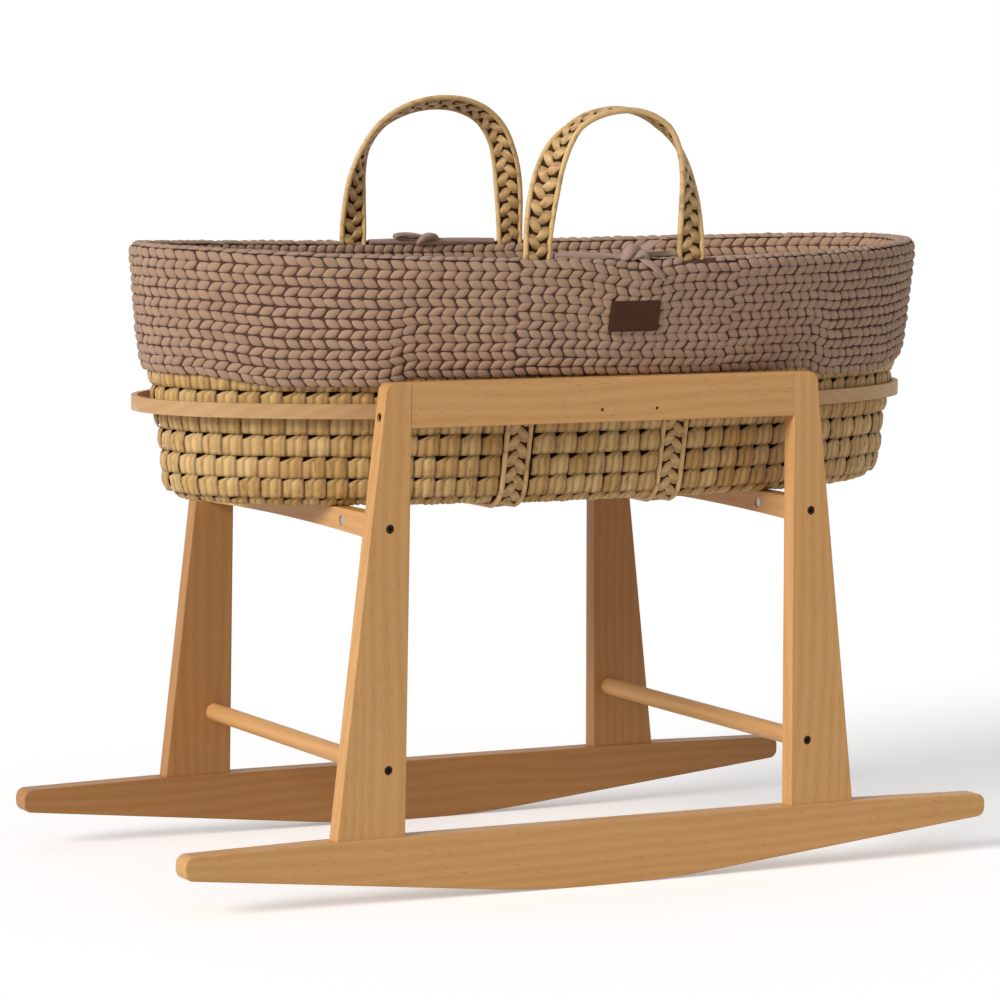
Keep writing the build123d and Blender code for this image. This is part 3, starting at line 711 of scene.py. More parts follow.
# %% Oval shells
def oval_shell(name, rings, finish, count=192, closed=True, place=oval_place):
    """A shell through rings of (height, growth), the last joined to the first when closed."""
    angles = [2 * math.pi * step / count for step in range(count)]
    points = [place(angle, height, grow) for height, grow in rings for angle in angles]
    faces = []
    for ring in range(len(rings) if closed else len(rings) - 1):
        low = ring * count
        high = (ring + 1) % len(rings) * count
        for step in range(count):
            after = (step + 1) % count
            faces.append((low + step, low + after, high + after, high + step))
    mesh = bpy.data.meshes.new(name)
    mesh.from_pydata(points, [], faces)
    mesh.materials.append(finish)
    mesh.polygons.foreach_set("use_smooth", [True] * len(mesh.polygons))
    piece = bpy.data.objects.new(name, mesh)
    scene.collection.objects.link(piece)
    return piece


wall_heights = [height for height, _, _ in wall_taper[:-1]]
outer_rings = [(height, -0.0072) for height in wall_heights[1:] + [0.225]]
inner_rings = [(height, -0.012) for height in wall_heights[1:] + [0.225]]
wall_core = oval_shell("basket_wall_core", [(0.0045, -0.012)] + outer_rings
                       + list(reversed(inner_rings)), weave_painted_shade)
base_core = oval_shell("basket_base_core",
                       [(0.006, -0.154), (0.0062, -0.0125), (0.0118, -0.0125), (0.0118, -0.154)],
                       weave_painted_shade)
print("cores", len(wall_core.data.polygons), len(base_core.data.polygons))

# %% [markdown]
# ## One tree for everything that is plaited
# The straps, the handles and the ties are strands that follow a line. Each line is a chain of
# points that carries its own directions and its half width and half thickness. Geometry Nodes
# turns the chain into a curve, gives it a round section, and then moves each vertex out along the
# directions by those sizes. So one tree makes flat ribbons, round cords and tapered tails.

# %% The strand tree
def strand_tree(name):
    graph, given = start_tree(name, {})
    circle = graph.add("GeometryNodeCurvePrimitiveCircle", {},
                       {"Resolution": 8, "Radius": 1.0})
    position = graph.add("GeometryNodeInputPosition")
    circle = keep(graph, circle, "ring", position, "FLOAT_VECTOR")
    line = graph.add("GeometryNodeMeshToCurve", {}, {"Mesh": given.output("Geometry")})
    tube = graph.add("GeometryNodeCurveToMesh", {},
                     {"Curve": line, "Profile Curve": circle, "Fill Caps": True})
    x, y, _ = graph.parts(read(graph, "ring", "FLOAT_VECTOR"))
    spot = read(graph, "place", "FLOAT_VECTOR")
    spot = spot.plus(read(graph, "along", "FLOAT_VECTOR").times(x * read(graph, "width")))
    spot = spot.plus(read(graph, "outward", "FLOAT_VECTOR").times(y * read(graph, "height")))
    tube = keep(graph, tube, "lane", x * read(graph, "width"))
    tube = graph.add("GeometryNodeSetPosition", {}, {"Geometry": tube, "Position": spot})
    return end_tree(graph, tube, given.output("Finish"))


strands_tree = strand_tree("strands")


# %% Chains of points for strands
class Strands:
    """Lines with directions and sizes at every point, for the strand tree."""

    def __init__(self):
        self.points = []
        self.edges = []

    def add(self, line, closed=False):
        """A line of (place, across, outward, half width, half thickness), with its shade."""
        start = len(self.points)
        run = 0.0
        for step, (place, across, outward, width, height, tone, crest) in enumerate(line):
            if step:
                run += (place - line[step - 1][0]).length
                self.edges.append((start + step - 1, start + step))
            self.points.append((place, across, outward, width, height, tone, crest, run))
        if closed:
            self.edges.append((len(self.points) - 1, start))

    def mesh(self, name):
        mesh = bpy.data.meshes.new(name)
        mesh.from_pydata([point[0] for point in self.points], self.edges, [])
        for index, label in enumerate(("place", "along", "outward")):
            layer = mesh.attributes.new(label, "FLOAT_VECTOR", "POINT")
            values = [value for point in self.points for value in point[index]]
            layer.data.foreach_set("vector", values)
        for index, label in enumerate(("width", "height", "tone", "crest", "run"), 3):
            layer = mesh.attributes.new(label, "FLOAT", "POINT")
            layer.data.foreach_set("value", [point[index] for point in self.points])
        return mesh


def turned_out(piece):
    """The piece with its faces outwards: a closed mesh has a volume above zero."""
    mesh = piece.data
    mesh.calc_loop_triangles()
    points = np.zeros(len(mesh.vertices) * 3)
    mesh.vertices.foreach_get("co", points)
    points = points.reshape(-1, 3)
    corners = np.zeros(len(mesh.loop_triangles) * 3, int)
    mesh.loop_triangles.foreach_get("vertices", corners)
    a, b, c = (points[corners.reshape(-1, 3)[:, index]] for index in range(3))
    if (a * np.cross(b, c)).sum() < 0:
        mesh.flip_normals()
    return piece


# %% [markdown]
# ## Straps and handles
# Each strap is a flat plait 30 mm wide: two smooth cords along its edges and three ribbons that
# cross between them, over and under, with dark gaps where they turn. A plait's strands follow a
# simple rule: each swings from side to side like a sine, and rises and dips twice as often. The
# handles are the same plait carried on past the rim, turning square as it goes into the arch.

# %% Plait finish
def plait_finish(name, pale, warm, crease):
    """Palm strands, streaked along their run, with painted shade where crest is low."""
    finish, graph, shader = new_finish(name, {"Specular IOR Level": 0.4, "Coat Weight": 0.08})
    run = graph.attribute("run")
    lane = graph.attribute("lane")
    tone = graph.attribute("tone")
    crest = graph.attribute("crest")
    place = graph.add("ShaderNodeTexCoord", {}, {}, "Object")
    fibre = graph.noise(graph.vector(run * 60.0, lane * 1500.0, tone * 40.0), 1.0, 3.0, 0.6)
    blotch = graph.noise(place, 120.0, 2.0)
    colour = graph.mix((fibre * 0.7 + tone * 0.5 - 0.15).at_least(0.0).at_most(1.0), pale, warm)
    colour = graph.mix(blotch.between(0.5, 0.72) * 0.4, colour, crease)
    # Painted shade: darker where crest is low.
    colour = graph.mix((1.0 - crest) * 0.85, colour, crease)
    dress(graph, shader, colour, fibre * 0.2 + 0.42, fibre, 0.0004)
    return finish


plait_leaf = plait_finish("palm plait", paint(226, 188, 130), paint(184, 138, 80),
                          paint(92, 56, 24))

# %% The plait's rule
plait_pitch = 0.048       # along the strap, from a strand's turn to its next on the same side
plait_swing = 0.0068
ribbon_half_width = 0.0056
ribbon_half_thickness = 0.0011
cord_offset = 0.0124
cord_radius = 0.0026
strap_lift = 0.0012        # how far a ribbon rises and dips on the wall


def plait(frames, thickness, start=0.0):
    """A plait's strands along frames of (distance, place, across, outward)."""
    strands = Strands()
    for strand in range(3):
        line = []
        for distance, place, across, outward in frames:
            turn = 2 * math.pi * ((distance + start) / plait_pitch + strand / 3)
            side = plait_swing * math.sin(turn)
            lift = thickness * math.sin(2 * turn)
            centre = place + across * side + outward * lift
            # crest sets how much painted shade a place on the strand gets: most where its lift is
            # zero.
            crest = 0.5 + 0.5 * abs(math.sin(2 * turn))
            line.append((centre, across, outward, ribbon_half_width, ribbon_half_thickness,
                         0.3 + 0.25 * strand, crest))
        strands.add(line)
    for side in (-1, 1):
        strands.add([(place + across * side * cord_offset, across, outward, cord_radius,
                      cord_radius * 1.15, 0.1 + 0.1 * side, 1.0)
                     for _, place, across, outward in frames])
    return strands


def plait_backing(frames):
    """A backing strip along the plait's middle, painted dark for the shade that shows in its gaps.
    """
    strands = Strands()
    strands.add([(place, across, outward, 0.0105, 0.0005, 0.5, 1.0)
                 for _, place, across, outward in frames])
    return strands


# %% Straps up the wall and under the base
strap_profile = Profile([(-0.0024, -0.150), (-0.0024, -0.009), (-0.0006, -0.0050),
                         (0.004, -0.0030), (0.015, -0.0016), (0.060, -0.0016),
                         (0.098, -0.0016), (0.160, -0.0016), (0.232, -0.0016)])


def strap_frames(side):
    """Frames from the rim at the front, under the base, to the rim at the back."""
    step = 0.0024
    count = int(strap_profile.length / step)
    distances = [strap_profile.length - index * strap_profile.length / count
                 for index in range(count + 1)]
    line = []
    for face, order in ((-1, distances), (1, reversed(distances))):
        for distance in order:
            height, grow = strap_profile.at(distance)
            half_length, half_width = half_sizes(height)
            y = face * (half_width + grow)
            for _ in range(3):
                x = strap_x(side, y)
                share = (x - basket_x) / (half_length + grow)
                y = face * (half_width + grow) * math.sqrt(1 - share ** 2)
            line.append(Vector((x, y, basket_z + height)))
    smooth = [sum((line[min(max(index + reach, 0), len(line) - 1)] for reach in (-2, -1, 0, 1, 2)),
                  Vector()) / 5 for index in range(len(line))]
    frames = []
    travelled = 0.0
    for index, place in enumerate(smooth):
        before = smooth[max(index - 1, 0)]
        after = smooth[min(index + 1, len(smooth) - 1)]
        travelled += (place - before).length if index else 0.0
        tangent = (after - before).normalized()
        across = Vector((1, 0, 0))
        across = (across - tangent * across.dot(tangent)).normalized()
        outward = tangent.cross(across).normalized()
        if outward.dot(place - Vector((place.x, 0, basket_z + 0.12))) < 0:
            outward = -outward
        frames.append((travelled, place, across, outward))
    return frames


straps = {}
for side, side_name in ((-1, "left"), (1, "right")):
    frames = strap_frames(side)
    strap = grown(f"carry_strap_{side_name}_plait", plait(frames, strap_lift).mesh("strap"),
                  strands_tree, {}, plait_leaf)
    backing = grown(f"carry_strap_{side_name}_core", plait_backing(frames).mesh("strap core"),
                    strands_tree, {}, weave_painted_shade)
    straps[side_name] = (turned_out(strap), turned_out(backing))

# %% The handles' lines
# Each line goes up one leg, over the arch and down the other, as (x, z) in metres.
handle_lines = {
    "front": [(-0.0825, 0.600), (-0.0823, 0.620), (-0.0800, 0.645), (-0.0752, 0.672),
              (-0.0680, 0.698), (-0.0550, 0.721), (-0.0365, 0.7375), (-0.0130, 0.7460),
              (0.0110, 0.7485), (0.0345, 0.7440), (0.0560, 0.7310), (0.0710, 0.7110),
              (0.0795, 0.6870), (0.0835, 0.6580), (0.0850, 0.6300), (0.0855, 0.600)],
    "back": [(-0.0830, 0.600), (-0.0828, 0.620), (-0.0815, 0.648), (-0.0785, 0.676),
             (-0.0700, 0.703), (-0.0530, 0.7260), (-0.0300, 0.7400), (-0.0060, 0.7475),
             (0.0190, 0.7500), (0.0440, 0.7470), (0.0670, 0.7370), (0.0840, 0.7180),
             (0.0930, 0.6920), (0.0970, 0.6620), (0.0985, 0.6320), (0.0990, 0.600)],
}
arch_turn = {"front": 88.0, "back": 66.0}    # degrees that the strap has turned at the top
turn_places = [0, 0.018, 0.060, 0.105, 0.140]     # metres from the foot of the line
handle_steps = 190
handle_lift = 0.0019


def spline(points, count):
    """Evenly spaced points on a smooth line through the given ones."""
    data = bpy.data.curves.new("line", "CURVE")
    data.dimensions = "3D"
    path = data.splines.new("NURBS")
    path.points.add(len(points) - 1)
    for point, place in zip(path.points, points):
        point.co = (*place, 1.0)
    path.order_u = 3
    path.use_endpoint_u = True
    path.resolution_u = 12
    carrier = bpy.data.objects.new("line", data)
    mesh = bpy.data.meshes.new_from_object(carrier)
    line = np.array([vertex.co for vertex in mesh.vertices])
    bpy.data.objects.remove(carrier)
    bpy.data.meshes.remove(mesh)
    way = np.concatenate([[0], np.cumsum(np.linalg.norm(np.diff(line, axis=0), axis=1))])
    spots = np.linspace(0, way[-1], count)
    return [Vector(np.interp(spots, way, line[:, axis])[index] for axis in range(3))
            for index in range(count)], way[-1]


def handle_frames(face):
    """Frames along a handle, with the strap turning square into the arch."""
    sign = -1 if face == "front" else 1
    points = [(x, pivot_y[face], z) for x, z in handle_lines[face]]
    line, length = spline(points, handle_steps)
    frames = []
    for index, place in enumerate(line):
        tangent = (line[min(index + 1, len(line) - 1)] - line[max(index - 1, 0)]).normalized()
        outward = Vector((-tangent.z, 0, tangent.x))
        distance = index / (len(line) - 1) * length
        climbed = min(distance, length - distance)
        turn = math.radians(np.interp(climbed, turn_places, [0, 0, 24, 58, arch_turn[face]]))
        across = outward * math.cos(turn) - Vector((0, sign, 0)) * math.sin(turn)
        face_out = tangent.cross(across).normalized()
        frames.append((distance, place, across, face_out))
    return frames


handles = {}
for face in ("front", "back"):
    frames = handle_frames(face)
    handle = grown(f"handle_{face}_plait", plait(frames, handle_lift).mesh("handle"), strands_tree,
                   {}, plait_leaf)
    backing = grown(f"handle_{face}_core", plait_backing(frames).mesh("handle core"),
                    strands_tree, {}, weave_painted_shade)
    handles[face] = (turned_out(handle), turned_out(backing))

# %% [markdown]
# ## Knit
# The cover is knitted from thick dusty pink-brown yarn. Its stitches lie on their sides: every row
# is a line of plump lobes that lean one way, the next leans the other way, and two rows together
# make a chain. The lobe is a dome on a leaning rounded square, 12.4 mm by 9.1 mm. A little sheen
# and a fine fuzz make it soft. The colour goes dark brown in the gaps between lobes, which is
# painted shade.

# %% Knit finish
def knit_finish(name, pale, warm, gap, fuzz_scale):
    finish, graph, shader = new_finish(name, {"Specular IOR Level": 0.15, "Sheen Weight": 0.25,
                                              "Sheen Roughness": 0.6})
    place = graph.add("ShaderNodeTexCoord", {}, {}, "Object")
    fuzz = graph.noise(place, fuzz_scale, 3.0, 0.7)
    patchy = graph.noise(place, 14.0, 2.0)
    tone = graph.attribute("tone")
    crest = graph.attribute("crest")
    shade = (tone * 0.35 + patchy * 0.5 + fuzz * 0.35 - 0.1).at_least(0.0).at_most(1.0)
    colour = graph.mix(shade, pale, warm)
    # Painted shade: the colour turns to gap brown where crest is low, between the lobes.
    colour = graph.mix(crest.between(0.0, 0.42, 1.0, 0.0) * 0.95, colour, gap)
    dress(graph, shader, colour, fuzz * 0.1 + 0.78, fuzz * 0.8, 0.0011)
    return finish


knit = knit_finish("dusty knit", paint(192, 155, 126), paint(160, 124, 97),
                   paint(82, 51, 37), 1300.0)

# %% One stitch
def stitch(graph, given, x, y):
    """A stitch's lobe: a dome on a rounded square that leans to one side."""
    across = (x * (math.pi / 2)).sine()
    climb = (y * (math.pi / 2)).sine()
    square = given.output("Roundness")
    corner_x = across * (1.0 - climb * climb * square).root()
    corner_y = climb * (1.0 - across * across * square).root()
    width = read(graph, "width")
    height = read(graph, "height")
    tone = read(graph, "tone")
    wander = (tone * 51.0).sine()
    lean = read(graph, "lean") * (1.0 + wander * 0.18)
    along = corner_x * width * 0.515 + corner_y * height * lean * 0.5 + (tone * 91.0).sine() * 0.0006
    upward = corner_y * height * (0.525 + wander * 0.012) + corner_x * wander * 0.0004
    upward = upward + (tone * 133.0).sine() * 0.0004
    bell = ((1.0 - across * across) * (1.0 - climb * climb)).at_least(0.0)
    outward = (bell ** 0.42) * read(graph, "dome") + (tone - 0.5) * 0.0010 - 0.0005
    # crest is low at the lobe's edges, where the knit finish paints shade.
    crest = bell ** 0.5
    return along, upward, outward, crest


stitch_tree = tile_tree("stitches", 6, 5, {"Roundness": 0.30}, stitch)

# %% The cover's line over the rim, and how its edge rises and dips
hem_height_on_wall = 0.1260
cover_top_height = 0.2424
cover_profile = Profile([(0.1255, 0.0040), (0.1300, 0.0050), (0.1360, 0.0062), (0.1600, 0.0062),
                         (0.2000, 0.0062), (0.2320, 0.0062), (0.2372, 0.0052),
                         (0.2402, 0.0030), (0.2418, -0.0005), (0.2424, -0.0050),
                         (0.2414, -0.0100), (0.2385, -0.0138), (0.2330, -0.0153),
                         (0.2290, -0.0153), (0.1200, -0.0153), (0.0200, -0.0153)])
edge_saddle = 0.005       # the edge rises at the ends and dips at the sides
tie_dip = 0.009           # extra dip of the outer edge in front of the tie
tie_x = 0.020


def smooth_step(value, low, high):
    share = min(1.0, max(0.0, (value - low) / (high - low)))
    return share * share * (3 - 2 * share)


tie_dip_width = 0.038
hem_drop = 0.009          # the hem hangs lower where the sides turn into the ends
hem_drop_starts = (0.212, 0.245)
hem_drop_ends = (0.325, 0.395)


def cover_shift(angle, height, grow):
    """How much the knit sags or rises there."""
    x = basket_x + half_sizes(height)[0] * math.cos(angle)
    reach = abs(x - basket_x)
    share = smooth_step(height, hem_height_on_wall, cover_top_height)
    shift = edge_saddle * math.cos(2 * angle) * share
    drop = smooth_step(reach, *hem_drop_starts) * (1 - smooth_step(reach, *hem_drop_ends))
    shift -= hem_drop * drop * (1 - share)
    if math.sin(angle) < 0:
        dip = math.exp(-((x - tie_x) / tie_dip_width) ** 2) * smooth_step(grow, -0.008, 0.004)
        shift -= tie_dip * dip * share
    return shift


def cover_place(angle, distance):
    height, grow = cover_profile.at(distance)
    place = oval_place(angle, height, grow)
    place.z += cover_shift(angle, height, grow)
    return place


# %% Rows of stitches
stitches_round = 166
stitch_row = 0.0091
slot_half_width = 0.0165
slot_floor = 0.6030
skirt_rows = 15
panel_seams = (-0.096, 0.126)
panel_offset = 0.55       # in rows, at the middle panel's left seam
panel_tilt = 1.0          # in rows, from the left seam to the right one
stitch_lean = 0.62
lining_rows = 22
skirt_dome = 0.0027
lining_dome = 0.0023


def in_handle_slot(place):
    """Whether a place of the cover is in a slot that a handle comes out of."""
    if place.z < slot_floor:
        return False
    return any(abs(place.x - strap_x(side, place.y)) < slot_half_width for side in (-1, 1))


def panel_slip(angle, distance):
    """How far the rows of the middle panel tilt, so that they miss their neighbours' rows."""
    x = basket_x + half_sizes(hem_height_on_wall)[0] * math.cos(angle)
    if math.sin(angle) > 0 or not panel_seams[0] < x < panel_seams[1]:
        return 0.0
    share = (x - panel_seams[0]) / (panel_seams[1] - panel_seams[0])
    inside = math.sin(math.pi * min(1.0, distance / (skirt_rows * stitch_row)))
    return stitch_row * (panel_offset - panel_tilt * share) * max(0.0, inside) ** 0.5


def stitch_rows(first, last, dome):
    seats = Seats()
    for row in range(first, last):
        distance = (row + 0.5) * stitch_row
        height, grow = cover_profile.at(distance)
        angles, width = even_angles(-math.pi / 2, 1.5 * math.pi, height, grow, stitches_round)
        lean = stitch_lean if row % 2 else -stitch_lean
        for angle in angles:
            seat = directions(cover_place, angle, distance + panel_slip(angle, distance))
            if in_handle_slot(seat[0]):
                continue
            seats.add(*seat, width=width, height=stitch_row, lean=lean, dome=dome)
    return seats


all_rows = int(cover_profile.length / stitch_row)
last_row = min(all_rows, skirt_rows + lining_rows)
skirt_stitches = grown("cover_skirt_stitches", stitch_rows(0, skirt_rows, skirt_dome).mesh("skirt"),
                       stitch_tree, {}, knit)
lining_stitches = grown("cover_lining_stitches",
                        stitch_rows(skirt_rows, last_row, lining_dome).mesh("lining"),
                        stitch_tree, {}, knit)
print("stitch rows", all_rows, "skirt", skirt_rows)

# %% The knit's ground, behind the stitches
def knit_ground(name, start, end, thickness):
    """The cloth that the stitches stand on, with its handle slots, as one closed shell."""
    steps = max(2, int((end - start) / 0.005))
    count = 332
    points = []
    for depth in (0.0, -thickness):
        for index in range(steps + 1):
            distance = start + (end - start) * index / steps
            for column in range(count):
                angle = -math.pi / 2 + 2 * math.pi * column / count
                place, _, _, outward = directions(cover_place, angle, distance)
                points.append(place + outward * depth)
    faces = []
    layer = (steps + 1) * count
    quads = set()
    for index in range(steps):
        for column in range(count):
            after = (column + 1) % count
            corners = (index * count + column, index * count + after,
                       (index + 1) * count + after, (index + 1) * count + column)
            middle = sum((points[corner] for corner in corners), Vector()) / 4
            if not in_handle_slot(middle):
                quads.add(corners)
    rim = {}
    for corners in quads:
        faces.append(corners)
        faces.append(tuple(corner + layer for corner in reversed(corners)))
        for first, second in zip(corners, corners[1:] + corners[:1]):
            if (second, first) in rim:
                del rim[(second, first)]
            else:
                rim[(first, second)] = True
    for first, second in rim:
        faces.append((second, first, first + layer, second + layer))
    mesh = bpy.data.meshes.new(name)
    mesh.from_pydata(points, [], faces)
    mesh.validate()
    # The ground takes the knit's painted shade.
    mesh.materials.append(knit_painted_shade)
    mesh.polygons.foreach_set("use_smooth", [True] * len(mesh.polygons))
    piece = bpy.data.objects.new(name, mesh)
    scene.collection.objects.link(piece)
    return piece


skirt_end = skirt_rows * stitch_row
skirt_ground = knit_ground("cover_skirt_ground", 0.0006, skirt_end, 0.0012)
lining_ground = knit_ground("cover_lining_ground", skirt_end + 0.0001, cover_profile.length,
                            0.0012)
print("knit ground", len(skirt_ground.data.polygons), len(lining_ground.data.polygons))

# %% [markdown]
# ## Rim
# Under the cover the wall ends in a roll of leaf. It only shows in the handles' slots, and from
# the inside before the lining is on, so a plain wrapped roll along the oval is enough.

# %% The rolled rim
rim_height = 0.2305


def rim_line():
    line = []
    for step in range(240):
        angle = 2 * math.pi * step / 240
        place = oval_place(angle, rim_height, -0.0062)
        place.z += edge_saddle * math.cos(2 * angle)
        half_length, half_width = half_sizes(rim_height)
        out = Vector((math.cos(angle) / half_length, math.sin(angle) / half_width, 0)).normalized()
        # wrap also sets crest, and from it the plait finish paints shade between the wraps.
        wrap = 0.5 + 0.5 * math.cos(step * math.pi / 2)
        line.append((place, Vector((0, 0, 1)), out, 0.0050 + 0.0004 * wrap,
                     0.0060 + 0.0004 * wrap, 0.3 + 0.3 * wrap, 0.8 + 0.2 * wrap))
    return line


rim_strands = Strands()
rim_strands.add(rim_line(), closed=True)
rim = turned_out(grown("basket_rim_roll", rim_strands.mesh("rim"), strands_tree, {}, plait_leaf))

# %% [markdown]
# ## Ties
# Between a handle's straps the cover is slit, and two bands of the same jersey are knotted over
# the slit. A band rolls itself up, so it is a soft tube with a seam. The front knot has a pointed
# end that stands up to the right and a tail that hangs over the skirt.

# %% Tie cloth finish
def tie_finish(name, pale, warm, streak_dark):
    finish, graph, shader = new_finish(name, {"Specular IOR Level": 0.15, "Sheen Weight": 0.25,
                                              "Sheen Roughness": 0.6})
    run = graph.attribute("run")
    lane = graph.attribute("lane")
    place = graph.add("ShaderNodeTexCoord", {}, {}, "Object")
    fuzz = graph.noise(place, 1800.0, 3.0, 0.7)
    ribs = ((lane * 4200.0).sine() * 0.5 + 0.5) * ((run * 1900.0).sine() * 0.25 + 0.75)
    fold = graph.noise(graph.vector(run * 40.0, lane * 500.0), 1.0, 2.0)
    colour = graph.mix((fold * 0.7 + ribs * 0.3).at_most(1.0), pale, warm)
    # Darker streaks where the fold noise is high.
    colour = graph.mix(fold.between(0.58, 0.74) * 0.6, colour, streak_dark)
    dress(graph, shader, colour, fuzz * 0.1 + 0.8, ribs * 0.5 + fuzz * 0.4 + fold, 0.0006)
    return finish


tie_cloth = tie_finish("tie jersey", paint(186, 154, 136), paint(152, 120, 104),
                       paint(96, 64, 52))


# %% Bands and knots
def band(strands, points, widths, flatness, count=40, tone=0.4):
    """A soft band through points, with half widths along it; its section leans with its line."""
    line, length = spline(points, count)
    made = []
    for index, place in enumerate(line):
        tangent = (line[min(index + 1, count - 1)] - line[max(index - 1, 0)]).normalized()
        across = tangent.cross(Vector((0, -0.5, 1))).normalized()
        outward = across.cross(tangent).normalized()
        share = index / (count - 1)
        width = np.interp(share, np.linspace(0, 1, len(widths)), widths)
        made.append((place, across, outward, width, width * flatness, tone, 1.0))
    strands.add(made)


front_tie = Strands()
tie_y = pivot_y["front"]
band(front_tie, [(-0.064, tie_y, 0.6080), (-0.045, tie_y - 0.001, 0.6085),
                 (-0.015, tie_y - 0.001, 0.6062), (0.008, tie_y - 0.002, 0.6050),
                 (0.020, tie_y - 0.003, 0.6060)], [0.0042, 0.0050, 0.0054, 0.0054, 0.0044], 0.9)
band(front_tie, [(0.024, tie_y, 0.6070), (0.038, tie_y + 0.002, 0.6082),
                 (0.052, tie_y + 0.002, 0.6092), (0.067, tie_y, 0.6096)],
     [0.0040, 0.0034, 0.0036, 0.0032], 0.8)
band(front_tie, [(0.008, tie_y - 0.001, 0.6010), (0.0075, tie_y - 0.0085, 0.6060),
                 (0.0120, tie_y - 0.0095, 0.6130), (0.021, tie_y - 0.003, 0.6165),
                 (0.030, tie_y + 0.004, 0.6130), (0.031, tie_y + 0.004, 0.6050)],
     [0.0036, 0.0052, 0.0056, 0.0056, 0.0048, 0.0036], 0.75, 30)
band(front_tie, [(0.031, tie_y - 0.0050, 0.6010), (0.032, tie_y - 0.0095, 0.6080),
                 (0.0240, tie_y - 0.0105, 0.6120), (0.014, tie_y - 0.008, 0.6050)],
     [0.0034, 0.0048, 0.0048, 0.0034], 0.7, 26)
band(front_tie, [(0.022, tie_y - 0.004, 0.6110), (0.036, tie_y - 0.006, 0.6185),
                 (0.050, tie_y - 0.005, 0.6235)], [0.0040, 0.0058, 0.0008], 0.3, 22)
band(front_tie, [(0.024, tie_y - 0.008, 0.6070), (0.031, tie_y - 0.0170, 0.6015),
                 (0.038, tie_y - 0.0212, 0.5950), (0.045, tie_y - 0.0222, 0.5850)],
     [0.0042, 0.0062, 0.0060, 0.0026], 0.26, 30)
tie_front = turned_out(grown("cover_tie_front_band", front_tie.mesh("front tie"), strands_tree,
                             {}, tie_cloth))

back_tie = Strands()
back_y = pivot_y["back"]
band(back_tie, [(-0.064, back_y, 0.6050), (-0.030, back_y + 0.001, 0.6054),
                (0.005, back_y, 0.6048), (0.040, back_y + 0.001, 0.6054),
                (0.080, back_y, 0.6052)], [0.0034, 0.0040, 0.0044, 0.0040, 0.0034], 0.9, 50)
band(back_tie, [(-0.008, back_y, 0.6010), (-0.010, back_y - 0.006, 0.6070),
                (0.002, back_y - 0.005, 0.6115), (0.014, back_y, 0.6095),
                (0.016, back_y + 0.003, 0.6030)], [0.0032, 0.0042, 0.0046, 0.0042, 0.0032],
     0.8, 26)
band(back_tie, [(0.004, back_y - 0.002, 0.6090), (-0.018, back_y - 0.004, 0.6140),
                (-0.042, back_y - 0.003, 0.6115), (-0.026, back_y - 0.001, 0.6085),
                (0.000, back_y, 0.6075)], [0.0028, 0.0036, 0.0036, 0.0034, 0.0026], 0.45, 40)
tie_back = turned_out(grown("cover_tie_back_band", back_tie.mesh("back tie"), strands_tree, {},
                            tie_cloth))

# %% [markdown]
# ## Leather patch
# A bare dark patch of leather is sewn on the front of the skirt. It is a thin plate that follows
# the knit, with softened corners and edges, and a pebbled grain from a cell texture and noise.

# %% Leather finish and the patch
def leather_finish(name, brown, dark):
    finish, graph, shader = new_finish(name, {"Specular IOR Level": 0.22})
    place = graph.add("ShaderNodeTexCoord", {}, {}, "Object")
    cells = graph.add("ShaderNodeTexVoronoi", {"feature": "DISTANCE_TO_EDGE"},
                      {"Vector": place, "Scale": 850.0}, "Distance")
    cloud = graph.noise(place, 90.0, 3.0)
    wear = graph.noise(place, 420.0, 2.0)
    colour = graph.mix((cloud * 0.8 + wear * 0.3).at_most(1.0), brown, dark)
    dress(graph, shader, colour, cloud * 0.2 + 0.42, cells.between(0.0, 0.25) + wear * 0.5,
          0.0003)
    return finish


leather = leather_finish("dark leather", paint(84, 44, 18), paint(58, 30, 12))


def make_patch():
    """A thin curved plate with rounded corners, as one closed mesh."""
    low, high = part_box("leather_patch")
    columns, rows = 28, 16
    thickness = 0.0018
    stand_off = 0.0096     # clear of the stitches
    corner = 0.0007
    middle_x = (low.x + high.x) / 2
    middle_z = (low.z + high.z) / 2
    half_width = (high.x - low.x) / 2
    half_height = (high.z - low.z) / 2
    mesh = bpy.data.meshes.new("leather_patch_plate")
    points = []
    for layer in (1, 0):
        for row in range(rows + 1):
            for column in range(columns + 1):
                u = 2 * column / columns - 1
                v = 2 * row / rows - 1
                trim = corner * max(0.0, abs(u) ** 14 + abs(v) ** 14 - 1)
                x = middle_x + u * (half_width - trim)
                z = middle_z + v * (half_height - trim)
                height = z - basket_z
                soften = 0.0005 * max(abs(u) ** 30, abs(v) ** 20)
                grow = stand_off + (thickness - soften if layer else 0.0)
                half_length, half_side = half_sizes(height)
                share = (x - basket_x) / (half_length + grow)
                y = -(half_side + grow) * math.sqrt(1 - share ** 2)
                points.append((x, y, z))
    layer_size = (rows + 1) * (columns + 1)
    faces = []
    for row in range(rows):
        for column in range(columns):
            first = row * (columns + 1) + column
            quad = (first, first + 1, first + columns + 2, first + columns + 1)
            faces.append(quad)
            faces.append(tuple(layer_size + corner_point for corner_point in reversed(quad)))
    edge = [column for column in range(columns + 1)]
    edge += [row * (columns + 1) + columns for row in range(1, rows + 1)]
    edge += [rows * (columns + 1) + column for column in range(columns - 1, -1, -1)]
    edge += [row * (columns + 1) for row in range(rows - 1, 0, -1)]
    for first, second in zip(edge, edge[1:] + edge[:1]):
        faces.append((second, first, first + layer_size, second + layer_size))
    mesh.from_pydata(points, [], faces)
    mesh.materials.append(leather)
    piece = bpy.data.objects.new("leather_patch_plate", mesh)
    scene.collection.objects.link(piece)
    return piece


patch = turned_out(make_patch())

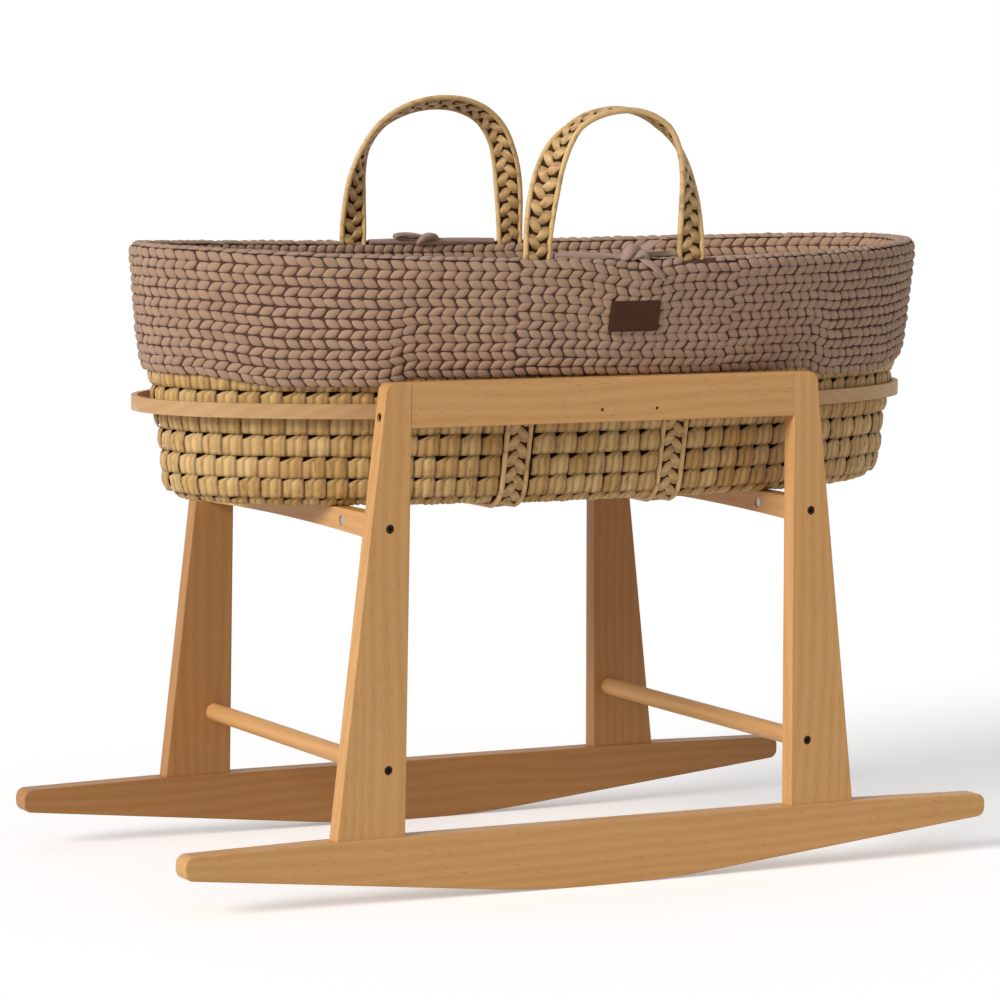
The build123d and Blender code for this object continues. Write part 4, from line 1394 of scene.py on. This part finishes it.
# %% [markdown]
# ## Mattress
# The mattress is a quilted cotton pad on foam. It starts as an oval pad a little smaller than its
# room, a cloth simulation with pressure swells it, and the quilting is pressed in afterwards.
# A piping cord runs round its upper and lower edge.

# %% Mattress cotton
def cotton_finish(name, white, cream):
    finish, graph, shader = new_finish(name, {"Specular IOR Level": 0.15, "Sheen Weight": 0.15})
    place = graph.add("ShaderNodeTexCoord", {}, {}, "Object")
    x, y, z = graph.parts(place)
    weave = (x * 5200.0).sine() * (y * 5200.0).sine() * 0.5 + 0.5
    cloud = graph.noise(place, 26.0, 3.0)
    colour = graph.mix((weave * 0.3 + cloud * 0.8 - 0.1).at_least(0.0).at_most(1.0), white, cream)
    dress(graph, shader, colour, cloud * 0.1 + 0.8, weave * 0.6 + cloud * 0.4, 0.0003)
    return finish


cotton = cotton_finish("mattress cotton", paint(240, 234, 222), paint(222, 212, 194))

# %% The mattress pad
mattress_low, mattress_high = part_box("mattress")


def mattress_pad():
    """The oval pad before it swells, as one closed mesh."""
    half_length = (mattress_high.x - mattress_low.x) / 2
    half_width = (mattress_high.y - mattress_low.y) / 2
    height = mattress_high.z - mattress_low.z
    profile = [(0.04, 0.030), (0.02, 0.012), (0.10, 0.006), (0.35, 0.003), (0.65, 0.003),
               (0.80, 0.006), (0.86, 0.016), (0.90, 0.040), (0.92, 0.090)]
    count = 120
    points, faces = [], []
    for share, drawn_in in profile:
        for step in range(count):
            angle = 2 * math.pi * step / count
            points.append((basket_x + (half_length - drawn_in) * math.cos(angle),
                           (half_width - drawn_in) * math.sin(angle),
                           mattress_low.z + share * height))
    for ring in range(len(profile) - 1):
        for step in range(count):
            after = (step + 1) % count
            faces.append((ring * count + step, ring * count + after,
                          (ring + 1) * count + after, (ring + 1) * count + step))
    faces.append(tuple(reversed(range(count))))
    faces.append(tuple((len(profile) - 1) * count + step for step in range(count)))
    mesh = bpy.data.meshes.new("mattress_pad")
    mesh.from_pydata(points, [], faces)
    pad = bpy.data.objects.new("mattress_pad", mesh)
    scene.collection.objects.link(pad)
    return pad


def applied(piece):
    """The piece with its modifiers made real."""
    state = bpy.context.evaluated_depsgraph_get()
    mesh = bpy.data.meshes.new_from_object(piece.evaluated_get(state), depsgraph=state)
    piece.modifiers.clear()
    piece.data = mesh
    return piece


def points_of(mesh):
    points = np.zeros(len(mesh.vertices) * 3)
    mesh.vertices.foreach_get("co", points)
    return points.reshape(-1, 3)


pad = mattress_pad()
remesh = pad.modifiers.new("voxels", "REMESH")
remesh.mode = "VOXEL"
remesh.voxel_size = 0.006
applied(pad)
before = points_of(pad.data)

# %% Swell it
swell_pressure = 0.35
swell_frames = 20
cloth = pad.modifiers.new("swell", "CLOTH")
cloth.settings.use_pressure = True
cloth.settings.uniform_pressure_force = swell_pressure
cloth.settings.effector_weights.gravity = 0
cloth.settings.quality = 5
cloth.point_cache.frame_end = swell_frames
for frame_number in range(1, swell_frames + 1):
    scene.frame_set(frame_number)
applied(pad)
scene.frame_set(1)
after = points_of(pad.data)
move = after - before
length = np.linalg.norm(move, axis=1, keepdims=True)
cap = 0.006
move = move * np.minimum(1.0, cap / np.maximum(length, 1e-9))
swollen = before + move
print("mattress moved", round(float(length.max()) * 1000, 1), "mm at most before the cap")

# %% Quilt it
room_low = np.array(mattress_low) + 0.0006
room_high = np.array(mattress_high) - 0.0004
swollen = np.minimum(np.maximum(swollen, room_low), room_high)
pad.data.vertices.foreach_set("co", swollen.ravel())
divide = pad.modifiers.new("finer", "SUBSURF")
divide.levels = 1
divide.render_levels = 1
applied(pad)
quilt = points_of(pad.data)
quilt_pitch = 0.062
quilt_depth = 0.0030
quilt_width = 0.0045
first_way = (quilt[:, 0] + quilt[:, 1]) / math.sqrt(2)
second_way = (quilt[:, 0] - quilt[:, 1]) / math.sqrt(2)
top_share = np.clip((quilt[:, 2] - mattress_low.z) / (mattress_high.z - mattress_low.z), 0, 1)
on_top = np.clip((top_share - 0.6) / 0.25, 0, 1)
dip = np.zeros(len(quilt))
for way in (first_way, second_way):
    to_line = np.abs((way / quilt_pitch) % 1.0 - 0.5) * quilt_pitch
    to_line = quilt_pitch / 2 - to_line
    dip = np.maximum(dip, np.exp(-(to_line / quilt_width) ** 2))
quilt[:, 2] -= quilt_depth * dip * on_top
pad.data.vertices.foreach_set("co", quilt.ravel())
pad.data.materials.clear()
pad.data.materials.append(cotton)
pad.data.polygons.foreach_set("use_smooth", [True] * len(pad.data.polygons))
turned_out(pad)
print("mattress faces", len(pad.data.polygons))

# %% Piping round the mattress
# The pad's edge is measured after it has swollen, so that the cord lies on the cotton.
piping_radius = 0.0018


def pad_edge(z, half_length, half_width, count):
    """How far the pad reaches at a height, as a share of the oval, for each angle."""
    points = points_of(pad.data)
    near = points[np.abs(points[:, 2] - z) < 0.004]
    across = (near[:, 0] - basket_x) / half_length
    deep = near[:, 1] / half_width
    bins = np.round(np.arctan2(deep, across) / (2 * math.pi) * count).astype(int) % count
    edge = np.zeros(count)
    np.maximum.at(edge, bins, np.hypot(across, deep))
    edge[edge == 0] = np.median(edge[edge > 0])
    return sum(np.roll(edge, turn) for turn in (-2, -1, 0, 1, 2)) / 5


def piping(name, share):
    count = 160
    half_length = (mattress_high.x - mattress_low.x) / 2
    half_width = (mattress_high.y - mattress_low.y) / 2
    z = mattress_low.z + share * (mattress_high.z - mattress_low.z)
    edge = pad_edge(z, half_length, half_width, count)
    strands = Strands()
    line = []
    for step in range(count):
        angle = 2 * math.pi * step / count
        out = Vector((math.cos(angle) / half_length, math.sin(angle) / half_width, 0)).normalized()
        place = Vector((basket_x + half_length * edge[step] * math.cos(angle),
                        half_width * edge[step] * math.sin(angle), z))
        line.append((place, Vector((0, 0, 1)), out, piping_radius, piping_radius, 0.5, 1.0))
    strands.add(line, closed=True)
    print(name, "pad reaches", round(float(edge.min()), 3), "to", round(float(edge.max()), 3))
    return turned_out(grown(name, strands.mesh(name), strands_tree, {}, cotton))


upper_piping = piping("mattress_piping_upper", 0.76)
lower_piping = piping("mattress_piping_lower", 0.14)

# %% [markdown]
# ## Riding and standing in
# Every made piece moves with a body of the frame and stands for a CAD node, whose plain solid is
# then hidden.

# %% Pieces on their bodies
made_pieces = [
    (wall_folds, "basket", ["basket_walls"], "palm_weave"),
    (wall_core, "basket", ["basket_walls"], "palm_weave"),
    (base_folds, "basket", ["basket_base"], "palm_weave"),
    (base_core, "basket", ["basket_base"], "palm_weave"),
    (rim, "basket", ["basket_rim"], "palm_weave"),
    (straps["left"][0], "basket", ["carry_strap_left"], "palm_plait"),
    (straps["left"][1], "basket", ["carry_strap_left"], "palm_plait"),
    (straps["right"][0], "basket", ["carry_strap_right"], "palm_plait"),
    (straps["right"][1], "basket", ["carry_strap_right"], "palm_plait"),
    (skirt_stitches, "basket", ["cover_skirt"], "knit"),
    (skirt_ground, "basket", ["cover_skirt"], "knit"),
    (lining_stitches, "basket", ["cover_lining"], "knit"),
    (lining_ground, "basket", ["cover_lining"], "knit"),
    (tie_front, "basket", ["cover_tie_front"], "tie_cloth"),
    (tie_back, "basket", ["cover_tie_back"], "tie_cloth"),
    (patch, "basket", ["leather_patch"], "leather"),
    (pad, "mattress", ["mattress"], "mattress_cloth"),
    (upper_piping, "mattress", ["mattress"], "mattress_cloth"),
    (lower_piping, "mattress", ["mattress"], "mattress_cloth"),
    (handles["front"][0], "handle_front", ["handle_front"], "palm_plait"),
    (handles["front"][1], "handle_front", ["handle_front"], "palm_plait"),
    (handles["back"][0], "handle_back", ["handle_back"], "palm_plait"),
    (handles["back"][1], "handle_back", ["handle_back"], "palm_plait"),
]
for piece, body, nodes, slot_name in made_pieces:
    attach(piece, body)
    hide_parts(*nodes)
way_round = even_angles(0, 2 * math.pi, 0.190, 0.0062, 1)[1]
lining_way_round = even_angles(0, 2 * math.pi, 0.130, -0.0153, 1)[1]
print("pieces made", len(made_pieces))

# %% [markdown]
# ## Floor and light
# The photograph shows the basket on plain white, lit softly from the left. A large pale floor keeps
# the object's shadow, and the world is white where the camera looks at it. A wide sun from the left
# and an even sky light the object. Faces turned to the left come out about as their colours are
# written; faces turned to the front come out darker, as they do in the photograph.

# %% Floor
floor_mesh = bpy.data.meshes.new("floor")
reach = 14.0
floor_mesh.from_pydata([(-reach, -reach, 0), (reach, -reach, 0), (reach, reach, 0),
                        (-reach, reach, 0)], [], [(0, 1, 2, 3)])
floor = bpy.data.objects.new("floor", floor_mesh)
scene.collection.objects.link(floor)
floor_finish, floor_graph, floor_shader = new_finish("pale floor", {"Roughness": 0.9,
                                                     "Specular IOR Level": 0.0,
                                                     "Base Color": (0.9, 0.9, 0.9, 1.0),
                                                     "Emission Strength": 1.0})
rays = floor_graph.add("ShaderNodeLightPath", {}, {}, "Is Camera Ray")
seen = rays.at_least(rays.output("Is Glossy Ray")).at_least(rays.output("Is Transmission Ray"))
lift = floor_graph.mix(seen, (0.0, 0.0, 0.0, 1.0), (0.34, 0.34, 0.34, 1.0))
floor_graph.tree.links.new(lift.socket, floor_shader.inputs["Emission Color"])
floor_mesh.materials.append(floor_finish)

# %% World and sun
sky_level = 0.38
world = bpy.data.worlds.new("studio")
scene.world = world
world.use_nodes = True
sky = Graph(world.node_tree)
background = world.node_tree.nodes["Background"]
background.inputs["Color"].default_value = (1.0, 1.0, 1.0, 1.0)
rays = sky.add("ShaderNodeLightPath", {}, {}, "Is Camera Ray")
seen = rays.at_least(rays.output("Is Glossy Ray")).at_least(rays.output("Is Transmission Ray"))
level = seen * (1.0 - sky_level) + sky_level
world.node_tree.links.new(level.socket, background.inputs["Strength"])


def sun(name, towards, strength, softness):
    """A soft lamp from far away; towards points from the object to the lamp."""
    data = bpy.data.lights.new(name, "SUN")
    data.energy = strength
    data.angle = math.radians(softness)
    lamp = bpy.data.objects.new(name, data)
    lamp.rotation_mode = "QUATERNION"
    lamp.rotation_quaternion = Vector(towards).to_track_quat("Z", "Y")
    scene.collection.objects.link(lamp)
    return lamp


key = sun("key", (-0.86, -0.26, 0.44), 2.6, 24)
scene.view_settings.view_transform = "Standard"
print("lamps", key.name, sky_level)
